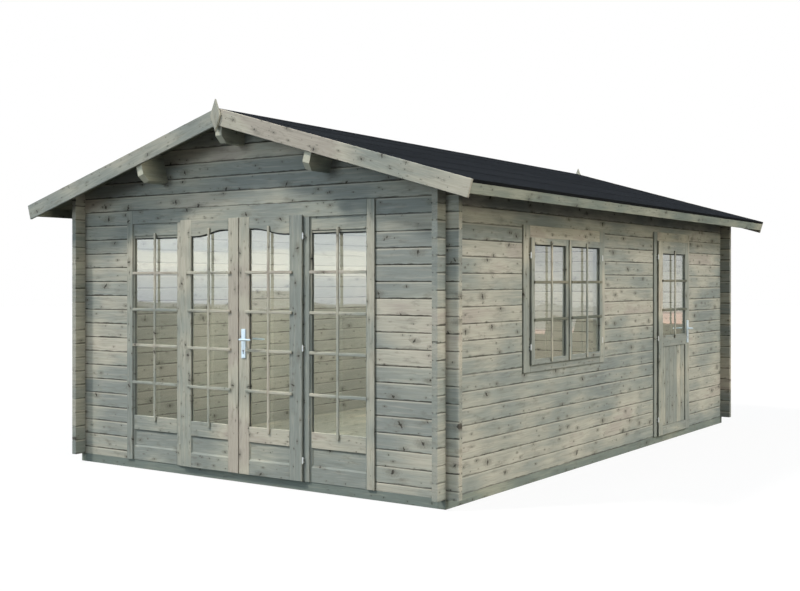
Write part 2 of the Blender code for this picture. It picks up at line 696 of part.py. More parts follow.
def lever_set(prefix, wall, leaf, pivot, height, direction, origin):
    """Lock plates on both faces of a leaf, joined by the lock barrel, and the lever through them."""
    plate_foot = SILL + height + LEVER_OVER_PLATE_MIDDLE - PLATE_HEIGHT + PLATE_WIDTH
    plate_top = plate_foot + PLATE_HEIGHT
    outer_face = LEAF_FRONT - SEAT
    inner_face = LEAF_BACK + SEAT
    half = PLATE_WIDTH / 2
    plates = box(prefix + "_lock", (pivot - half, outer_face - PLATE_THICKNESS, plate_foot),
                 (pivot + half, outer_face, plate_top), wall)
    back = box(prefix + "_lock_back", (pivot - half, inner_face, plate_foot),
               (pivot + half, inner_face + PLATE_THICKNESS, plate_top), wall)
    axle = SILL + height
    length = LEAF_THICKNESS + 2 * PLATE_THICKNESS
    middle = (LEAF_FRONT + LEAF_BACK) / 2
    barrel = cylinder(prefix + "_lock_barrel", (pivot, middle, axle - LOCK_DROP), "Y", LOCK_RADIUS,
                      length - PLATE_THICKNESS, 16, wall)
    join(plates, back, barrel)
    spindle_hole = cylinder(prefix + "_spindle_hole", (pivot, middle, axle), "Y",
                            LEVER_RADIUS + SPINDLE_CLEARANCE, length + CUTTER_REACH, 20, wall)
    lock_hole = cylinder(prefix + "_lock_hole", (pivot, middle, axle - LOCK_DROP), "Y",
                         LOCK_RADIUS + SEAT, length, 16, wall)
    cut(plates, as_cutter(spindle_hole))
    cut(leaf, spindle_hole, as_cutter(lock_hole))
    finish(plates, "handle")
    set_origin(plates, origin)

    reach_out = outer_face - PLATE_THICKNESS - LEVER_REACH
    reach_in = inner_face + PLATE_THICKNESS + LEVER_REACH
    tip = pivot + direction * LEVER_LENGTH
    elbow = pivot + direction * LEVER_BEND
    path = [(tip, reach_out), (elbow, reach_out), (pivot, reach_out + LEVER_BEND),
            (pivot, reach_in - LEVER_BEND), (elbow, reach_in), (tip, reach_in)]
    lever = rod(prefix + "_lever", [(x, y, axle) for x, y in path], LEVER_RADIUS, wall)
    finish(lever, "handle")
    set_origin(lever, (pivot, middle, axle))


def build_front_unit(wall):
    """Fixed frame of the front doors, its trim and the two side lights."""
    outer = FRONT_HALF - FRONT_TRIM_WIDTH / 2 - 2 * SEAT
    jamb = FRONT_HALF - FRONT_TRIM_WIDTH
    top = FRONT_OPENING_TOP - 2 * SEAT
    inner = MULLION_INNER - STOP_DEPTH
    threshold = SILL + THRESHOLD_HEIGHT
    comb = [(-outer, SILL), (-jamb, SILL), (-jamb, FRONT_HEAD), (-MULLION_OUTER, FRONT_HEAD),
            (-MULLION_OUTER, SILL), (MULLION_OUTER, SILL), (MULLION_OUTER, FRONT_HEAD), (jamb, FRONT_HEAD),
            (jamb, SILL), (outer, SILL), (outer, top), (-outer, top)]
    doorway = rectangle(-inner, inner, threshold + STOP_DEPTH, FRONT_HEAD - STOP_DEPTH)
    frame = slab("front_frame", [comb, doorway], "XZ", 0.0, FRAME_BACK, wall)
    rebate = box("front_rebate", (-MULLION_INNER, -CUTTER_REACH, threshold),
                 (MULLION_INNER, STOP_FRONT, FRONT_HEAD), wall)
    cut(frame, as_cutter(rebate))
    for side, sign in (("left", -1), ("right", 1)):
        edges = sorted((sign * MULLION_INNER, sign * MULLION_OUTER))
        face = box("front_mullion_" + side, (edges[0], -TRIM_THICKNESS, SILL),
                   (edges[1], STOP_FRONT / 2, FRONT_HEAD - SEAT), wall)
        join(frame, face)
    finish(frame, "joinery")

    trim_top = FRONT_OPENING_TOP + FRONT_TRIM_COVER
    trim_outline = [(-FRONT_HALF, SILL), (-jamb, SILL), (-jamb, FRONT_HEAD), (jamb, FRONT_HEAD),
                    (jamb, SILL), (FRONT_HALF, SILL), (FRONT_HALF, trim_top), (-FRONT_HALF, trim_top)]
    finish(slab("front_trim", [trim_outline], "XZ", -TRIM_THICKNESS, -SEAT, wall), "joinery")

    front = -TRIM_THICKNESS + LIGHT_SETBACK
    thickness = LEAF_THICKNESS - STOP_DEPTH
    for side, sign in (("left", -1), ("right", 1)):
        edges = sorted((sign * (MULLION_OUTER + SEAT), sign * (jamb - SEAT)))
        outline = (edges[0], edges[1], SILL + SEAT, FRONT_HEAD - SEAT)
        left = edges[0] + LIGHT_STILE
        right = edges[1] - LIGHT_STILE
        light, _ = glazed_leaf("side_light_" + side, wall, outline, outline,
                               (left, right, SILL + GLASS_FOOT, FRONT_GLASS_HEAD), front, thickness)
        sink_panel(light, wall, left, right, SILL + RECESS_FOOT, SILL + RECESS_TOP, front,
                   front + thickness)
        finish(light, "joinery")


def build_front_doors(wall):
    """Two leaves with arched glass, hung on the mullions; the right one carries the lock."""
    lip_edge = MULLION_INNER + LIP_LAP
    meeting = MEETING_GAP / 2
    line = lip_edge + DOOR_SWING_LEAD
    foot = SILL + LEAF_FOOT_GAP
    top = FRONT_HEAD + FRONT_HEAD_LAP
    core_foot = SILL + THRESHOLD_HEIGHT + LIP_GAP
    core_top = FRONT_HEAD - LIP_GAP
    glass = (-lip_edge + HINGE_STILE, -meeting - MEETING_STILE, SILL + GLASS_FOOT, FRONT_GLASS_HEAD)
    for side, sign in (("left", -1), ("right", 1)):
        outer = sorted((sign * meeting, sign * lip_edge))
        core = sorted((sign * meeting, sign * (lip_edge - LAP)))
        leaf, pane = glazed_leaf("front_door_" + side, wall, (*outer, foot, top),
                                 (*core, core_foot, core_top), glass, rise=ARCH_RISE, flip=sign > 0)
        stiles = sorted((sign * (meeting + MEETING_STILE), sign * (lip_edge - HINGE_STILE)))
        sink_panel(leaf, wall, stiles[0], stiles[1], SILL + RECESS_FOOT, SILL + RECESS_TOP,
                   LEAF_FRONT, LEAF_BACK)
        hinge_knuckles(leaf, wall, sign * line, foot, top, DOOR_HINGE_INSET, 3)
        finish(leaf, "joinery")
        pin = (sign * line, HINGE_LINE, SILL)
        if sign > 0:
            lever_set("front", wall, leaf, meeting + MEETING_STILE / 2, FRONT_LEVER_HEIGHT, 1, pin)
        set_origin(leaf, pin)
        set_origin(pane, pin)


def build_window(wall):
    """Frame, trim and two casements of the window."""
    left = WINDOW_CENTRE - WINDOW_HALF
    right = WINDOW_CENTRE + WINDOW_HALF
    lips = (left + CASEMENT_SIDES, right - CASEMENT_SIDES, SILL_JOINT + CASEMENT_FOOT,
            HEAD_JOINT - CASEMENT_HEAD)
    hole = shrunk(lips, LIP_LAP)
    ring = rectangle(*shrunk((left, right, SILL_JOINT, HEAD_JOINT), 2 * SEAT))
    frame = slab("window_frame", [ring, rectangle(*shrunk(hole, STOP_DEPTH))], "XZ", 0.0, FRAME_BACK, wall)
    rebate = box("window_rebate", (hole[0], -CUTTER_REACH, hole[2]), (hole[1], STOP_FRONT, hole[3]), wall)
    finish(cut(frame, as_cutter(rebate)), "joinery")
    trim_outline = rectangle(left - WINDOW_TRIM_SIDES, right + WINDOW_TRIM_SIDES,
                             SILL_JOINT - WINDOW_TRIM_FOOT, HEAD_JOINT + WINDOW_TRIM_HEAD)
    trim = slab("window_trim", [trim_outline, rectangle(*hole)], "XZ", -TRIM_THICKNESS, -SEAT, wall)
    finish(trim, "joinery")

    half_gap = CASEMENT_GAP / 2
    foot, top = lips[2:]
    for place, sign in (("front", -1), ("rear", 1)):
        edge = lips[0] if sign < 0 else lips[1]
        outer = sorted((WINDOW_CENTRE + sign * half_gap, edge))
        core = sorted((WINDOW_CENTRE + sign * half_gap, edge - sign * LAP))
        glass = (outer[0] + CASEMENT_STILE, outer[1] - CASEMENT_STILE, foot + CASEMENT_FOOT_RAIL,
                 top - CASEMENT_STILE)
        casement, _ = glazed_leaf("casement_" + place, wall, (*outer, foot, top),
                                  (*core, foot + LAP, top - LAP), glass)
        hinge_knuckles(casement, wall, edge + sign * DOOR_SWING_LEAD, foot, top, CASEMENT_HINGE_INSET, 2)
        finish(casement, "joinery")


def build_side_door(wall):
    """Frame, trim and leaf of the door in the right wall, hung on its front side."""
    left = SIDE_DOOR_CENTRE - SIDE_DOOR_HALF
    right = SIDE_DOOR_CENTRE + SIDE_DOOR_HALF
    lips = (left + SIDE_LEAF_SIDES, right - SIDE_LEAF_SIDES, SILL + LEAF_FOOT_GAP,
            HEAD_JOINT - SIDE_LEAF_HEAD)
    jambs = (lips[0] + LIP_LAP, lips[1] - LIP_LAP)
    head = lips[3] - LIP_LAP
    threshold = SILL + THRESHOLD_HEIGHT
    frame = slab("side_door_frame", [
        rectangle(left + 2 * SEAT, right - 2 * SEAT, SILL, HEAD_JOINT - 2 * SEAT),
        rectangle(*shrunk((*jambs, threshold, head), STOP_DEPTH))], "XZ", 0.0, FRAME_BACK, wall)
    rebate = box("side_door_rebate", (jambs[0], -CUTTER_REACH, threshold), (jambs[1], STOP_FRONT, head), wall)
    finish(cut(frame, as_cutter(rebate)), "joinery")
    trim_top = HEAD_JOINT + SIDE_TRIM_HEAD
    trim_left = left - SIDE_TRIM_SIDES
    trim_right = right + SIDE_TRIM_SIDES
    trim_outline = [(trim_left, SILL), (jambs[0], SILL), (jambs[0], head), (jambs[1], head),
                    (jambs[1], SILL), (trim_right, SILL), (trim_right, trim_top), (trim_left, trim_top)]
    finish(slab("side_door_trim", [trim_outline], "XZ", -TRIM_THICKNESS, -SEAT, wall), "joinery")

    core = (lips[0] + LAP, lips[1] - LAP, threshold + LIP_GAP, lips[3] - LAP)
    stiles = (lips[0] + SIDE_STILE, lips[1] - SIDE_STILE)
    leaf, pane = glazed_leaf("side_door", wall, lips, core,
                             (*stiles, SILL + SIDE_GLASS_FOOT, lips[3] - SIDE_TOP_RAIL))
    sink_panel(leaf, wall, *stiles, SILL + SIDE_RECESS_FOOT, SILL + SIDE_RECESS_TOP, LEAF_FRONT, LEAF_BACK)
    line = lips[0] - DOOR_SWING_LEAD
    hinge_knuckles(leaf, wall, line, lips[2], lips[3], DOOR_HINGE_INSET, 3)
    finish(leaf, "joinery")
    pin = (line, HINGE_LINE, SILL)
    lever_set("side", wall, leaf, lips[1] - SIDE_STILE / 2, SIDE_LEVER_HEIGHT, -1, pin)
    set_origin(leaf, pin)
    set_origin(pane, pin)


# ---------------------------------------------------------------------------------------------
# Build
# ---------------------------------------------------------------------------------------------

clear_scene()
CABIN = make_collection("log_cabin")
CUTTERS = make_collection("cutters")

FRONT_SIDE = make_empty("front_side", (0.0, -HALF_LENGTH, 0.0), 0.0)
RIGHT_SIDE = make_empty("right_side", (HALF_WIDTH, -HALF_LENGTH, 0.0), math.pi / 2)

VOID = roof_void()
PASSAGES = purlin_passages()

build_beams()
build_floor()
build_walls(VOID, PASSAGES)
build_purlins(VOID)
build_roof()
build_bargeboards()
build_front_unit(FRONT_SIDE)
build_front_doors(FRONT_SIDE)
build_window(RIGHT_SIDE)
build_side_door(RIGHT_SIDE)
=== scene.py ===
# %% [markdown]
# # A garden log cabin, dressed around its CAD frame
#
# The CAD model already has the cabin's true shape: crossed log corners, openings cut
# through the walls, doors on hinges. This script gives it the looks of the real thing. The
# logs keep their CAD meshes and get a material. Everything that a joiner would make from
# separate boards is made again here from separate boards, in the same places and sizes,
# because each real board has its own colour, its own run of grain and its own soft edges.
#
# Each step below starts with a note on what the piece is, how it could be made, and why
# this way was chosen.

import math
import random

import bmesh
import bpy
import numpy as np
from mathutils import Matrix, Vector


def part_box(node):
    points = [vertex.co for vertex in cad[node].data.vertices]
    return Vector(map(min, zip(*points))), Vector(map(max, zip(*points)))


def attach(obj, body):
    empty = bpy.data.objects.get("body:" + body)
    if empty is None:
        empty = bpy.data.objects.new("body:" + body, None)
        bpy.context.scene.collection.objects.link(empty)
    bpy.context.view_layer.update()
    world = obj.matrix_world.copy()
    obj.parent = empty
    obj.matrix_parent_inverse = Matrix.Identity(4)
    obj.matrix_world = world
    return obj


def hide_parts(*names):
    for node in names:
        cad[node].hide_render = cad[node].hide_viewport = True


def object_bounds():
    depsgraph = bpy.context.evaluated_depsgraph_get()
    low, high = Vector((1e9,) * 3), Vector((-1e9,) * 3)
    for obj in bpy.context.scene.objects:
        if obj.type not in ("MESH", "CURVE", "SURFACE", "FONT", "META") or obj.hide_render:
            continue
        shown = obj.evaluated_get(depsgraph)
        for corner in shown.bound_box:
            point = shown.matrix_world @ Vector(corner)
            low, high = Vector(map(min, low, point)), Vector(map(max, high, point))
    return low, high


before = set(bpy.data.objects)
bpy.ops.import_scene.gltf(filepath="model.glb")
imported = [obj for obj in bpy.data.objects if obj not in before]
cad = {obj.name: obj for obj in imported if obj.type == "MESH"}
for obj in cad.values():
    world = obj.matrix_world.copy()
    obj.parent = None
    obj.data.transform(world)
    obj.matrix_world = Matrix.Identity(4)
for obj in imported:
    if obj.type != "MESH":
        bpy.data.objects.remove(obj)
cad_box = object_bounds()
print("CAD box", [[round(v, 3) for v in corner] for corner in cad_box])

# %% [markdown]
# ## The viewpoint
# The cabin is seen from the front right corner at eye height, from far enough away that its
# sides barely narrow. The camera is level, so all the cabin's uprights stay upright in the
# picture, and a small downward shift of the lens brings the ridge and the ground beam to
# the same distance from the picture's edges.

# %% Camera
CAMERA_PLACE = (5.682, -8.940, 1.492)
CAMERA_TURN = 34.47          # degrees to the left of looking along Y
LENS = 50.22                 # millimetres
LENS_SHIFT = -0.0169
camera = bpy.data.objects.new("camera", bpy.data.cameras.new("camera"))
bpy.context.scene.collection.objects.link(camera)
camera.location = CAMERA_PLACE
camera.rotation_euler = (math.radians(90), 0.0, math.radians(CAMERA_TURN))
camera.data.lens = LENS
camera.data.shift_y = LENS_SHIFT
bpy.context.scene.camera = camera
bpy.context.scene.view_settings.view_transform = "Standard"
print("the camera stands", round(math.hypot(*CAMERA_PLACE[:2]), 2), "m from the cabin's middle")

# %% [markdown]
# ## A short way to write materials
# A material is a net of nodes. Written out one by one, a net of fifty nodes is long and
# hard to read, so this small class adds one node for each call and gives back its output.
# Numbers, colours and other nodes' outputs all go in the same way. The sky uses it too.

# %% Node net helper
# Where a Mix node keeps its share, its two colours and its coloured result.
MIX_SHARE, MIX_FIRST, MIX_SECOND, MIX_RESULT = 0, 6, 7, 2


class Net:
    """Adds nodes to one node tree; every call gives back an output that the next can use."""

    def __init__(self, tree):
        self.tree = tree

    def feed(self, socket, value):
        """Link a socket to an output, or set it to a plain value."""
        if isinstance(value, bpy.types.NodeSocket):
            self.tree.links.new(value, socket)
        elif value is not None:
            socket.default_value = value

    def node(self, kind, settings=None, **values):
        """One node: settings are its own options, values go to the inputs of that name."""
        made = self.tree.nodes.new("ShaderNode" + kind)
        for option, value in (settings or {}).items():
            setattr(made, option, value)
        for label, value in values.items():
            self.feed(made.inputs[label.replace("_", " ")], value)
        return made

    def math(self, operation, *values):
        """A sum, a product or another function of plain numbers."""
        made = self.node("Math", {"operation": operation})
        for socket, value in zip(made.inputs, values):
            self.feed(socket, value)
        return made.outputs[0]

    def vector(self, x=0.0, y=0.0, z=0.0):
        """Three numbers put together as a vector."""
        return self.node("CombineXYZ", X=x, Y=y, Z=z).outputs[0]

    def parts(self, vector):
        """A vector taken apart into its X, Y and Z."""
        return self.node("SeparateXYZ", Vector=vector).outputs

    def vmath(self, operation, *values):
        """The same as math, for vectors; the length of a vector is a number again."""
        made = self.node("VectorMath", {"operation": operation})
        for socket, value in zip(made.inputs, values):
            self.feed(socket, value)
        return made.outputs["Value" if operation == "LENGTH" else "Vector"]

    def noise(self, vector, detail=2.0, roughness=0.5):
        """Soft noise with one bump for each unit of the vector."""
        return self.node("TexNoise", Vector=vector, Scale=1.0, Detail=detail,
                         Roughness=roughness).outputs["Fac"]

    def step(self, value, start, end):
        """0 before start, 1 after end, smooth between; start may be the larger."""
        made = self.node("MapRange", {"interpolation_type": "SMOOTHSTEP"}, Value=value)
        made.inputs["From Min"].default_value = start
        made.inputs["From Max"].default_value = end
        return made.outputs["Result"]

    def span(self, value, low, high, to_low, to_high):
        """Carry the range from low to high over to the range from to_low to to_high."""
        return self.node("MapRange", Value=value, From_Min=low, From_Max=high,
                         To_Min=to_low, To_Max=to_high).outputs["Result"]

    def mix(self, share, first, second, blend="MIX"):
        """A colour between two others."""
        made = self.node("Mix", {"data_type": "RGBA", "blend_type": blend})
        self.feed(made.inputs[MIX_SHARE], share)
        self.feed(made.inputs[MIX_FIRST], first)
        self.feed(made.inputs[MIX_SECOND], second)
        return made.outputs[MIX_RESULT]

    def ramp(self, value, *stops):
        """Colours along a scale; each stop is (place, colour)."""
        made = self.node("ValToRGB", Fac=value)
        scale = made.color_ramp
        while len(scale.elements) < len(stops):
            scale.elements.new(0.5)
        for mark, (place, colour) in zip(scale.elements, stops):
            mark.position = place
            mark.color = colour
        return made.outputs["Color"]

    def either(self, share, first, second):
        """The first shader where share is 0, the second where it is 1."""
        made = self.node("MixShader", Fac=share)
        self.feed(made.inputs[1], first.outputs[0])
        self.feed(made.inputs[2], second.outputs[0])
        return made

    def relief(self, height, strength, distance):
        """A bump in the surface, for a shader's Normal."""
        return self.node("Bump", Height=height, Strength=strength, Distance=distance).outputs[0]

    def surface(self, shader):
        """Let this shader be what the material or the sky shows."""
        self.feed(self.tree.get_output_node("ALL").inputs["Surface"], shader.outputs[0])


def paint(red, green, blue):
    """A colour as a screen shows it, from 0 to 255, turned into the linear values of a shader."""
    linear = [((c / 255 + 0.055) / 1.055) ** 2.4 if c > 10 else c / 255 / 12.92 for c in (red, green, blue)]
    return (*linear, 1.0)


def new_material(name):
    """A material with its net and its Principled shader."""
    material = bpy.data.materials.new(name)
    material.use_nodes = True
    return material, Net(material.node_tree), material.node_tree.nodes["Principled BSDF"]


def mottled(name, spots, low, high, matt, marks=(0.35, 0.70), detail=3.0, metallic=0.0):
    """A plain finish that is a little uneven: its colour lies between low and high, and its
    roughness between the two values of matt. spots is how many patches a metre has, each way."""
    material, net, shader = new_material(name)
    place = net.node("TexCoord").outputs["Object"]
    mottle = net.noise(net.vmath("MULTIPLY", place, spots), detail=detail)
    net.feed(shader.inputs["Base Color"], net.ramp(mottle, (marks[0], low), (marks[1], high)))
    net.feed(shader.inputs["Roughness"], net.span(mottle, 0.3, 0.7, *matt))
    shader.inputs["Metallic"].default_value = metallic
    return material


print("cream pine is", [round(c, 3) for c in paint(176, 171, 150)])

# %% [markdown]
# ## Light
# A low, soft sun from the front left gives the front its form: it draws the slanting shadow
# of the roof's overhang on the gable. A second, very wide lamp from the right stands for the
# bright side of the sky, so that the long wall isn't dull. A pale floor would also throw
# light up under the eaves, but it would reach their deepest corners too, which are near
# black on a real cabin. Two faint lamps that stand just above the horizon, one before each
# wall, do it better: their light comes in under the overhang and leaves the last strip below
# the roof dark. All of them are kept at the level where a surface shows about the colour that
# it was given.

# %% Lamps
def link_lamp(name, lamp):
    """Put a lamp in the scene, unseen in mirrors."""
    obj = bpy.data.objects.new(name, lamp)
    obj.visible_glossy = False
    bpy.context.scene.collection.objects.link(obj)
    return obj


def sun_lamp(name, travel, strength, colour, width):
    """A distant lamp; travel is the way its light goes, width its size in the sky in degrees."""
    lamp = bpy.data.lights.new(name, "SUN")
    lamp.energy = strength
    lamp.color = colour
    lamp.angle = math.radians(width)
    link_lamp(name, lamp).rotation_euler = Vector(travel).to_track_quat("-Z", "Y").to_euler()


sun_lamp("sun", (0.441, 0.476, -0.762), 3.5, (1.0, 0.955, 0.89), 8)
sun_lamp("bright_sky", (-0.80, -0.09, -0.59), 2.2, (1.0, 0.99, 0.99), 26)
sun_lamp("low_right", (-0.97, 0.06, -0.14), 1.02, (1.0, 0.96, 0.77), 14)
sun_lamp("low_front", (0.25, 0.95, -0.19), 0.82, (0.87, 0.98, 1.0), 20)

# A wide panel under the ceiling, as if the room's own light were on.
PANEL_SIZE = (2.8, 4.6)
PANEL_HEIGHT = 2.12
PANEL_POWER = 113.0
panel = bpy.data.lights.new("room_panel", "AREA")
panel.shape = "RECTANGLE"
panel.size, panel.size_y = PANEL_SIZE
panel.energy = PANEL_POWER
panel.color = (1.0, 0.99, 0.95)
room = link_lamp("room_panel", panel)
room.location.z = PANEL_HEIGHT
room.visible_camera = False
room.visible_transmission = False

# %% [markdown]
# ## Sky
# The open sky fills the shadows. It is cool over the front, and warmer over the long wall,
# which the evening side of the sky lights. What the eye, a mirror or a pane sees of it is
# plain white, as in a studio.

# %% Sky light
COOL_SKY = (0.41, 0.53, 0.66, 1.0)
WARM_SKY = (0.48, 0.45, 0.38, 1.0)
WARM_FROM, WARM_TO = -0.1, 0.7        # how far to the right the sky is turned
world = bpy.data.worlds.new("sky")
bpy.context.scene.world = world
world.use_nodes = True
net = Net(world.node_tree)
to_right = net.parts(net.node("TexCoord").outputs["Generated"])[0]
ambient = world.node_tree.nodes["Background"]
net.feed(ambient.inputs["Color"], net.mix(net.span(to_right, WARM_FROM, WARM_TO, 0.0, 1.0), COOL_SKY, WARM_SKY))
backdrop = net.node("Background", Color=(1.0, 1.0, 1.0, 1.0))
seen = net.node("LightPath").outputs
seen_at_all = net.math("MAXIMUM", net.math("MAXIMUM", seen["Is Camera Ray"], seen["Is Glossy Ray"]),
                       seen["Is Transmission Ray"])
net.surface(net.either(seen_at_all, ambient, backdrop))
print("the sky has", len(world.node_tree.nodes), "nodes")

# %% [markdown]
# ## Weathered pine
# The logs are spruce or pine that has been pressure treated and has stood outside: a grey
# green that turns cream, blue grey or faintly pink from one patch to the next, with dark
# knots. A painted texture could carry all that, but it would repeat. Here the pattern is
# worked out from a place inside the timber, so no two boards are the same.
#
# The group takes a place along, across and through one piece of timber, in metres. The same
# group serves every log and board. The next cells fill it.

# %% Pine node group
BLUE_GREY = paint(128, 134, 128)
GREY_GREEN = paint(144, 148, 138)
CREAM = paint(161, 160, 146)
PALE = paint(178, 174, 158)
PINKISH = paint(167, 160, 147)
KNOT = paint(48, 42, 34)
STAIN = paint(100, 97, 86)
# SEAM is the near black of the joints' painted shade and dirt.
SEAM = paint(46, 42, 33)
FRESH = paint(168, 165, 149)

pine = bpy.data.node_groups.new("weathered_pine", "ShaderNodeTree")
for way, labels in (("INPUT", {"Grain": "Vector", "Place": "Vector", "Tone": "Float", "End": "Float",
                               "Joint": "Float", "Edge": "Float", "Inside": "Float"}),
                    ("OUTPUT", {"Color": "Color", "Height": "Float", "Roughness": "Float"})):
    for label, kind in labels.items():
        pine.interface.new_socket(label, in_out=way, socket_type="NodeSocket" + kind)
net = Net(pine)
given = pine.nodes.new("NodeGroupInput").outputs
along, across, through = net.parts(given["Grain"])
face = net.vector(along, across)
wobble = net.noise(net.vmath("MULTIPLY", given["Grain"], (75.0, 75.0, 75.0)), roughness=0.6)
print("the group takes", [socket.name for socket in given if socket.name])

# %% [markdown]
# ## Knots
# A knot is a branch that was cut across: dark and ragged, with a stain round it, and now and
# then with a long slit where the saw ran along the branch. Knots could be set by hand, one by
# one, but a cabin has thousands. Here they are the cells of a Voronoi pattern, and each cell's
# random colour decides whether there is a knot, how large it is and how it leans.

# %% Knots in the pine
def knots(per_metre, small, large, share, ragged):
    """Knots in the cells of a Voronoi pattern. Gives the knot, the stain round it, the line of a
    branch that was cut lengthwise, and the way from the knot's middle."""
    cells = net.node("TexVoronoi", {"voronoi_dimensions": "2D"}, Vector=face, Scale=per_metre)
    luck = net.parts(cells.outputs["Color"])
    away = net.vmath("SUBTRACT", face, cells.outputs["Position"])
    # Most knots are longer across the timber than along it, and lean a little.
    turned = net.node("VectorRotate", {"rotation_type": "Z_AXIS"}, Vector=away,
                      Angle=net.span(luck[0], 0.0, 1.0, 0.75, 2.40)).outputs[0]
    size = net.span(net.math("POWER", luck[2], 1.5), 0.0, 1.0, small, large)
    x, y, _ = net.parts(turned)
    reach = net.vmath("LENGTH", net.vector(net.math("MULTIPLY", x, net.span(luck[1], 0.0, 1.0, 0.40, 0.95)), y))
    reach = net.math("DIVIDE", reach, size)
    # Its rim goes in and out, coarsely with the way round it and finely with the wobble.
    spokes = net.vmath("MULTIPLY", net.vmath("NORMALIZE", turned), (1.7, 1.7, 0.0))
    spokes = net.noise(net.vmath("ADD", spokes, net.vmath("MULTIPLY", cells.outputs["Color"], (30.0, 30.0, 30.0))),
                       roughness=0.6)
    reach = net.math("MULTIPLY", reach, net.span(spokes, 0.3, 0.7, 1.0 + ragged, 1.0 - ragged))
    reach = net.math("ADD", reach, net.span(wobble, 0.3, 0.7, -0.45, 0.45))
    there = net.math("LESS_THAN", luck[1], share)
    knot = net.math("MULTIPLY", net.step(reach, 1.15, 0.65), there)
    x, y, _ = net.parts(away)
    wide = net.math("DIVIDE", net.vmath("LENGTH", net.vector(net.math("MULTIPLY", x, 0.45), y)), size)
    wide = net.math("ADD", wide, net.span(wobble, 0.3, 0.7, -0.9, 0.9))
    stain = net.math("MULTIPLY", net.step(wide, 4.2, 0.9), there)
    x, y, _ = net.parts(turned)
    slit = net.math("DIVIDE", net.vmath("LENGTH", net.vector(net.math("MULTIPLY", x, 0.12), y)), size)
    slit = net.math("MULTIPLY", net.step(slit, 0.50, 0.15), net.step(luck[2], 0.60, 0.70))
    return knot, stain, net.math("MULTIPLY", slit, there), away


knot, halo, whisker, from_knot = knots(5.2, 0.0026, 0.0108, 0.80, 0.42)
pin, pin_halo, _, _ = knots(12.0, 0.0018, 0.0046, 0.26, 0.20)
print("with its knots the group has", len(pine.nodes), "nodes")

# %% [markdown]
# ## Growth lines
# Growth lines are the contours of a soft noise that is stretched along the timber, and they
# bend round each knot as real ones do. Finer noises, stretched still more, are the fibre, the
# drying checks and the broad bands of early and late wood.

# %% Growth lines in the pine
KNOT_SWING = 0.00030         # square metres round a knot that the lines are pushed out of
RINGS = 24.0


def stretched(along_scale, across_scale, through_scale, detail=2.0, roughness=0.5, line=None):
    """Noise in the timber's own three directions."""
    return net.noise(net.vector(net.math("MULTIPLY", along, along_scale),
                                net.math("MULTIPLY", bent if line is None else line, across_scale),
                                net.math("MULTIPLY", through, through_scale)), detail=detail, roughness=roughness)


away = net.vmath("LENGTH", from_knot)
swing = net.math("DIVIDE", KNOT_SWING, net.math("ADD", net.math("MULTIPLY", away, away), KNOT_SWING))
swing = net.math("MULTIPLY", net.math("MULTIPLY", net.parts(from_knot)[1], swing), 0.75)
bent = net.math("SUBTRACT", across, swing)
field = stretched(0.45, 8.0, 8.0, detail=1.0, roughness=0.4)
ring = net.math("FRACT", net.math("MULTIPLY", field, RINGS))
ring = net.math("MULTIPLY", net.step(ring, 0.15, 0.85), net.step(ring, 1.0, 0.88))
fibre = stretched(6.0, 260.0, 260.0)
check = stretched(1.6, 75.0, 75.0, roughness=0.6)
check = net.step(check, 0.72, 0.78)
band = stretched(3.0, 62.0, 20.0, roughness=0.6)
print("growth lines bring it to", len(pine.nodes), "nodes")

# %% [markdown]
# ## Patches of weather
# Patches of colour run across several boards, as rain and sun made them. Each board's own
# tone and soft streaks along it are laid over them. Near the ground the timber stays damp
# for longer, and turns a colder grey. Stains, checks and knots come on top, each mixed in by
# its own share.

# %% Colour of the pine
patch = net.noise(net.vmath("MULTIPLY", given["Place"], (1.2, 1.2, 1.9)))
patch = net.math("ADD", patch, net.math("MULTIPLY_ADD", given["Tone"], 0.20, -0.10))
streak = stretched(2.6, 24.0, 6.0, detail=3.0, roughness=0.6, line=across)
patch = net.math("ADD", patch, net.span(streak, 0.25, 0.75, -0.07, 0.07))
damp = net.step(net.parts(given["Place"])[2], 0.60, 0.10)
patch = net.math("SUBTRACT", patch, net.math("MULTIPLY", damp, 0.090))
colour = net.ramp(patch, (0.33, BLUE_GREY), (0.44, GREY_GREEN), (0.53, CREAM), (0.62, PALE), (0.70, PINKISH))
smudge = net.noise(net.vector(net.math("ADD", net.math("MULTIPLY", along, 7.0), 40.0),
                              net.math("MULTIPLY", across, 20.0), through), detail=4.0, roughness=0.65)
smudge = net.step(smudge, 0.52, 0.78)
colour = net.mix(net.math("MULTIPLY", smudge, 0.55), colour, STAIN)
colour = net.mix(net.math("MULTIPLY", net.step(band, 0.50, 0.72), 0.20), colour, STAIN)
colour = net.mix(net.math("MULTIPLY", net.step(band, 0.48, 0.30), 0.26), colour, PALE)
colour = net.mix(net.math("MULTIPLY", given["Inside"], 0.60), colour, FRESH)
colour = net.mix(net.math("MULTIPLY", ring, 0.11), colour, STAIN)
colour = net.mix(net.span(fibre, 0.3, 0.7, 0.0, 0.14), colour, STAIN)
for mark, share, over in ((halo, 0.50, STAIN), (pin_halo, 0.30, STAIN), (whisker, 0.45, KNOT),
                          (check, 0.40, KNOT), (knot, 0.82, KNOT), (pin, 0.78, KNOT)):
    colour = net.mix(net.math("MULTIPLY", mark, share), colour, over)
print("colour brings it to", len(pine.nodes), "nodes")
